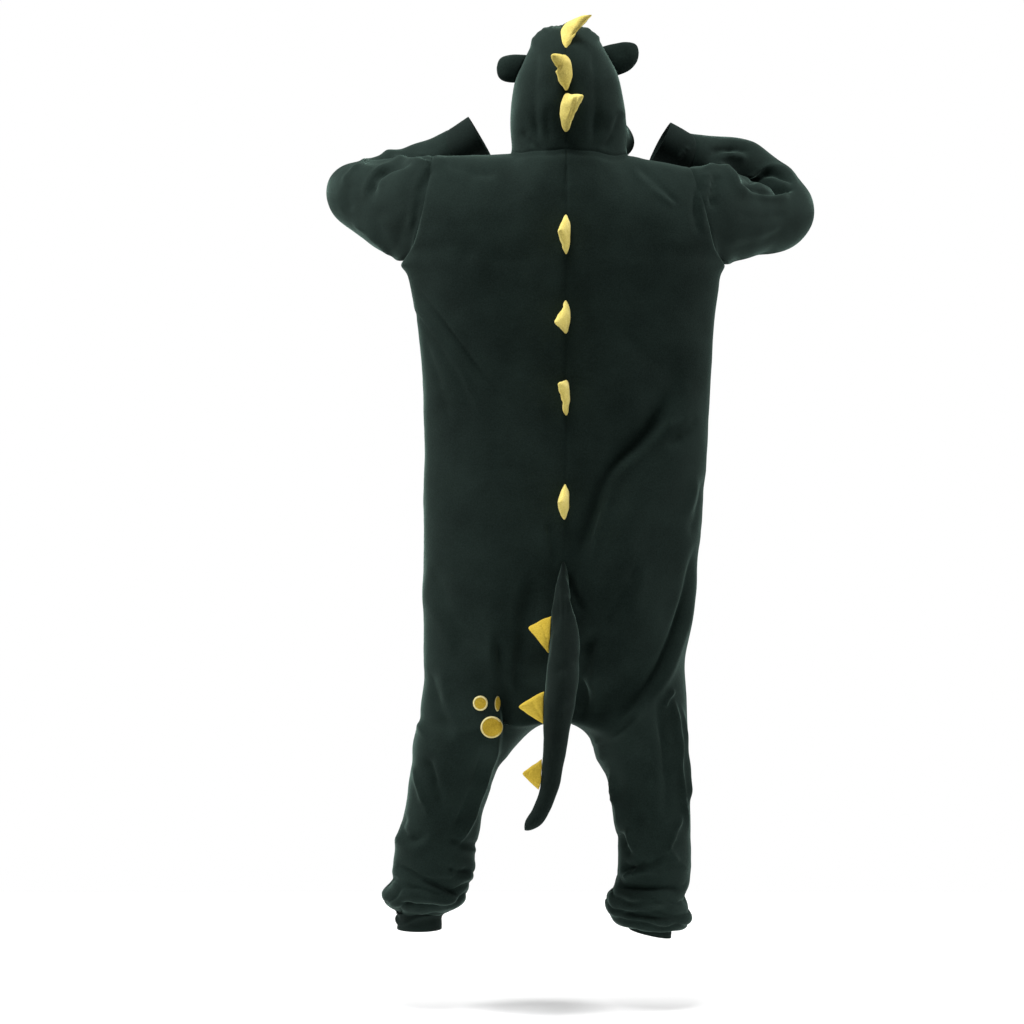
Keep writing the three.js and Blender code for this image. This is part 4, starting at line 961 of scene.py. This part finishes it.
@dataclass
class Placket:
    """The band over the front opening, topstitched along both edges. Sizes in millimetres."""

    node: str = "front_placket"
    lift: float = 0.9
    flat: tuple[float, float] = (0.036, 0.63)  # metres
    topstitch: tuple[float, float, float] = (4.5, 1.1, 0.55)  # from the edge, width and depth
    band: bpy.types.Object | None = None
    surface: BVHTree | None = None

    def build(self, cloth: BVHTree) -> None:
        """Lays the band on the folded fronts.

        Args:
            cloth: the surface of the folded cloth.
        """
        skin = ClothShells((self.node,)).outer_skin(self.node)
        coarse = bpy.data.meshes.new(self.node)
        skin.to_mesh(coarse)
        skin.free()
        fine = smooth_through(coarse, 4)
        shape = bmesh.new()
        shape.from_mesh(fine)
        bpy.data.meshes.remove(fine)
        lay(shape, cloth, 1, self.lift * MM)
        self.press_seams(shape)
        face_towards(shape, Vector((0, 1, 0)))
        self.band = to_piece("front_placket_band", shape)
        thicken(self.band, FLEECE_THICK, 1)
        self.surface = tree_of(evaluated(self.band))

    def press_seams(self, shape: bmesh.types.BMesh) -> None:
        """Presses a shallow line of stitching in along each long edge."""
        border = [v.co.copy() for v in shape.verts if v.is_boundary]
        tree = KDTree(len(border))
        for index, place in enumerate(border):
            tree.insert(place, index)
        tree.balance()
        inset, width, depth = self.topstitch
        for v in shape.verts:
            edge = tree.find(v.co)[2] / MM
            v.co.y -= depth * MM * math.exp(-(((edge - inset) / width) ** 2))

    def dress(self, finish: bpy.types.Material) -> None:
        wear(self.band, finish)
        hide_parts(self.node)


@dataclass
class Button:
    """A moulded button with a raised rim, sewn on with two bars of thread. Sizes in millimetres."""

    node: str
    profile: tuple[tuple[float, float], ...] = (
        (0.0, 2.0), (3.0, 2.0), (5.4, 2.1), (6.0, 2.5), (6.6, 3.2), (7.4, 3.5), (8.2, 3.3),
        (8.8, 2.6), (9.0, 1.8), (8.8, 0.9), (8.2, 0.3), (7.0, 0.0), (0.0, 0.0),
    )
    steps: int = 48
    gap: float = 0.35
    body: bpy.types.Object | None = None
    thread: bpy.types.Object | None = None

    def build(self, band: BVHTree) -> None:
        """Turns the button and seats it on the band.

        Args:
            band: the surface of the front band.
        """
        low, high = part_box(self.node)
        x, z = (low[0] + high[0]) / 2, (low[2] + high[2]) / 2
        radius = max(r for r, _ in self.profile) * MM
        near = [(x + a * radius, z + b * radius) for a, b in ((0, 0), (1, 0), (-1, 0), (0, 1), (0, -1))]
        hits = [band.ray_cast(Vector((px, 1.0, pz)), Vector((0, -1, 0)))[0] for px, pz in near]
        tilt = Vector((hits[2].y - hits[1].y, 2 * radius, hits[4].y - hits[3].y)).normalized()
        seat = Vector((x, 0, z))
        seat.y = max(h.y + ((h.x - x) * tilt.x + (h.z - z) * tilt.z) / tilt.y for h in hits)
        seat += tilt * self.gap * MM
        turn = Vector((0, 0, 1)).rotation_difference(tilt).to_matrix().to_4x4()
        place = Matrix.Translation(seat) @ turn
        lathe = bmesh.new()
        line = [lathe.verts.new((r * MM, 0, h * MM)) for r, h in self.profile]
        edges = [lathe.edges.new(pair) for pair in zip(line[:-1], line[1:])]
        spun = dict(cent=(0, 0, 0), axis=(0, 0, 1), angle=math.tau, steps=self.steps, use_merge=True)
        bmesh.ops.spin(lathe, geom=line + edges, **spun)
        bmesh.ops.remove_doubles(lathe, verts=lathe.verts, dist=0.01 * MM)
        bmesh.ops.recalc_face_normals(lathe, faces=lathe.faces)
        bmesh.ops.transform(lathe, verts=lathe.verts, matrix=place)
        self.body = to_piece(f"{self.node}_moulded", lathe)
        self.thread = to_piece(f"{self.node}_thread", self.sewing(place))

    def sewing(self, place: Matrix) -> bmesh.types.BMesh:
        """Two short bars of thread across the button's middle.

        Args:
            place: where the button lies.

        Returns:
            Both bars.
        """
        bars = bmesh.new()
        for side in (-1, 1):
            bar = bmesh.ops.create_uvsphere(bars, u_segments=14, v_segments=10, radius=MM)["verts"]
            bmesh.ops.scale(bars, verts=bar, vec=(0.62, 2.5, 0.5))
            bmesh.ops.translate(bars, verts=bar, vec=(side * 1.5 * MM, 0, 2.15 * MM))
        bmesh.ops.transform(bars, verts=bars.verts, matrix=place)
        return bars

    def dress(self, moulded: bpy.types.Material, thread: bpy.types.Material) -> None:
        """Gives the button and its thread their finishes."""
        for piece, finish, slot in ((self.body, moulded, "button"), (self.thread, thread, "green_band")):
            wear(piece, finish)
        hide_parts(self.node)


@dataclass
class StuffedPiece:
    """A spike, an ear or the tail: two layers of fleece sewn round a soft filling."""

    node: str
    levels: int = 2
    wrinkle: float = 0.8  # millimetres
    wave: float = 0.018
    folds: tuple[Fold, ...] = ()
    pinch: float = 1.0  # width against the solid's
    lean: float = 0.0  # millimetres that its outer edge leans to the wearer's left
    pressed: float = 1.0  # how proud of the cloth it stays at its root
    piece: bpy.types.Object | None = None

    def press(self, places: np.ndarray, cloth: BVHTree) -> None:
        """Sinks the upper end towards the cloth that it is sewn to.

        Args:
            places: rows of x, y, z in metres, which change.
            cloth: the garment's skin.
        """
        rise = 1 - smoothstep(ROOT_LOW, ROOT_HIGH, places[:, 2] / MM)
        share = self.pressed + (1 - self.pressed) * rise
        for place, kept in zip(places, share):
            hit = cloth.ray_cast(Vector((place[0], -1, place[2])), Vector((0, 1, 0)))[0]
            if hit and hit.y > place[1]:
                place[1] = hit.y - kept * (hit.y - place[1])

    def build(self, cloth: BVHTree) -> None:
        """Smooths the solid and gives it the dents of a hand-filled piece.

        Args:
            cloth: the garment's skin.
        """
        shape = merged_copy(self.node)
        low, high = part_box(self.node)
        middle = (low[0] + high[0]) / 2
        for v in shape.verts:
            out = (high[1] - v.co.y) / (high[1] - low[1])
            v.co.x = middle + (v.co.x - middle) * self.pinch - self.lean * MM * out
        bent, skewed = math.radians(40), math.radians(60)
        bmesh.ops.join_triangles(
            shape, faces=shape.faces, angle_face_threshold=bent, angle_shape_threshold=skewed
        )
        coarse = bpy.data.meshes.new(self.node)
        shape.to_mesh(coarse)
        shape.free()
        fine = smooth_through(coarse, self.levels, 2)
        places, facing = positions(fine), normals(fine)
        height = MM * self.wrinkle * wander(places, self.wave, 5.0)
        pixels = to_pixels(places)
        for fold in self.folds:
            height = height + fold.height(pixels, facing[:, 1])
        places = places + facing * height[:, None]
        if self.pressed < 1:
            self.press(places, cloth)
        move(fine, places)
        fine.shade_smooth()
        self.piece = new_object(f"{self.node}_stuffed", fine)

    def dress(self, finish: bpy.types.Material, slot: str, fill: float) -> None:
        wear(self.piece, finish)
        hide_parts(self.node)


@dataclass
class Studio:
    """The pale floor, the soft light and the camera."""

    lens: float = 97.66
    sensor: float = 36.0
    fill: float = 0.17  # the white room's light on the garment, against its own brightness
    floor_glow: float = 0.34

    def floor(self) -> None:
        """A plain white floor under the garment."""
        shape = bmesh.new()
        bmesh.ops.create_grid(shape, x_segments=1, y_segments=1, size=1.5)
        bmesh.ops.translate(shape, verts=shape.verts, vec=(0, 0, FLOOR_Z))
        floor = to_piece("floor", shape)
        material, _ = new_material(
            "floor_paper",
            {
                "Base Color": (0.97, 0.97, 0.97, 1),
                "Roughness": 0.9,
                "Emission Color": (1, 1, 1, 1),
                "Emission Strength": self.floor_glow,
            },
        )
        floor.data.materials.append(material)

    def light(self, name: str, place: tuple[float, float, float], size: float, power: float) -> None:
        """One soft box that looks at the garment's middle.

        Args:
            name: the light's name.
            place: where it stands, in metres.
            size: its side in metres.
            power: watts.
        """
        data = bpy.data.lights.new(name, "AREA")
        data.shape = "SQUARE"
        data.size = size
        data.energy = power
        lamp = bpy.data.objects.new(name, data)
        lamp.location = place
        aim = Vector((0, 0, -0.6)) - Vector(place)
        lamp.rotation_euler = aim.to_track_quat("-Z", "Y").to_euler()
        bpy.context.scene.collection.objects.link(lamp)

    def camera(self) -> None:
        """The camera at the photograph's place."""
        data = bpy.data.cameras.new("camera")
        data.lens = self.lens
        data.sensor_width = self.sensor
        data.clip_end = 60
        camera = bpy.data.objects.new("camera", data)
        camera.location = EYE
        camera.rotation_euler = (math.radians(90), 0, 0)
        bpy.context.scene.collection.objects.link(camera)
        bpy.context.scene.camera = camera

    def build(self) -> None:
        """Sets up the whole studio."""
        scene = bpy.context.scene
        scene.view_settings.view_transform = "Standard"
        world = bpy.data.worlds.new("studio")
        world.use_nodes = True
        tree = world.node_tree
        background = tree.nodes["Background"]
        background.inputs["Color"].default_value = (1, 1, 1, 1)
        seen = add_node(tree, "ShaderNodeLightPath", {}, {}).outputs["Is Camera Ray"]
        level = add_node(tree, "ShaderNodeMapRange", {"To Min": self.fill, "To Max": 1.0}, {"Value": seen})
        tree.links.new(level.outputs["Result"], background.inputs["Strength"])
        scene.world = world
        self.floor()
        self.light("left_box", (-2.7, 0.1, 1.0), 1.0, 80)
        self.light("right_box", (2.7, 0.2, 0.9), 1.0, 60)
        self.light("top_box", (-0.4, -0.9, 2.5), 1.2, 92)
        self.camera()


PANELS = (
    "back_left", "back_right", "front_left", "front_right", "hood_left", "hood_right",
    "sleeve_left", "sleeve_right", "sleeve_cuff_left", "sleeve_cuff_right",
    "ankle_cuff_left", "ankle_cuff_right",
)
SPOTS = (
    Spot("spot_1", -151, -975, 11.7),
    Spot("spot_2", -121, -976, 11.7, seen=0.36, rounds=2),
    Spot("spot_3", -131, -1017, 18.0),
)
SPIKES = (
    "hood_spike_1", "hood_spike_2", "hood_spike_3", "back_spike_1", "back_spike_2", "back_spike_3",
    "back_spike_4", "tail_spike_1", "tail_spike_2", "tail_spike_3",
)


def main() -> None:
    """Builds the garment, sub-assembly by sub-assembly, and the studio."""
    logging.basicConfig(level=logging.INFO, format="%(message)s")
    finishes = (GREEN, PAINTED_SHADE_GREEN, BAND, YELLOW, PAINTED_LIGHT_YELLOW, SPOT, THREAD, BUTTON)
    green, painted_shade_green, band, yellow, pale, patch, thread, moulded = (finish.make() for finish in finishes)
    shells = ClothShells(PANELS)
    shells.build()
    shells.dress(green, band)
    for node, piece in shells.made.items():
        LOG.info("cloth %s: %d faces", node, len(piece.data.polygons))
    for node in SPIKES:
        on_back = node.startswith("back")
        on_tail = node.startswith("tail")
        spike = StuffedPiece(
            node, levels=3, wrinkle=1.7, wave=0.016, folds=SPIKE_FOLDS, pinch=0.74 if on_back else 0.97,
            lean=6.0 if on_back else 0.0, pressed=TAIL_PRESSED if on_tail else 1.0,
        )
        spike.build(shells.surface)
        # The hood and back spikes take the yellow fleece brightened with painted light; the tail spikes take
        # the plain yellow fleece.
        spike.dress(yellow if on_tail else pale, "yellow_fleece", 0.7)
        LOG.info("spike %s", node)
    for node in ("ear_left", "ear_right"):
        ear = StuffedPiece(node)
        ear.build(shells.surface)
        ear.dress(green, "green_fleece", 0.6)
        LOG.info("ear %s", node)
    tail = StuffedPiece("tail", levels=3, wrinkle=1.9, wave=0.03, folds=TAIL_FOLDS, pressed=TAIL_PRESSED)
    tail.build(shells.surface)
    # The tail wears the green fleece darkened with painted shade.
    tail.dress(painted_shade_green, "green_fleece", 0.8)
    LOG.info("tail")
    for spot in SPOTS:
        spot.build(shells.surface)
        spot.dress(patch, thread)
        LOG.info("%s", spot.node)
    placket = Placket()
    placket.build(shells.surface)
    placket.dress(band)
    LOG.info("placket")
    for number in range(1, 6):
        button = Button(f"button_{number}")
        button.build(placket.surface)
        button.dress(moulded, band)
        LOG.info("button %d", number)
    Studio().build()


if __name__ == "__main__":
    main()
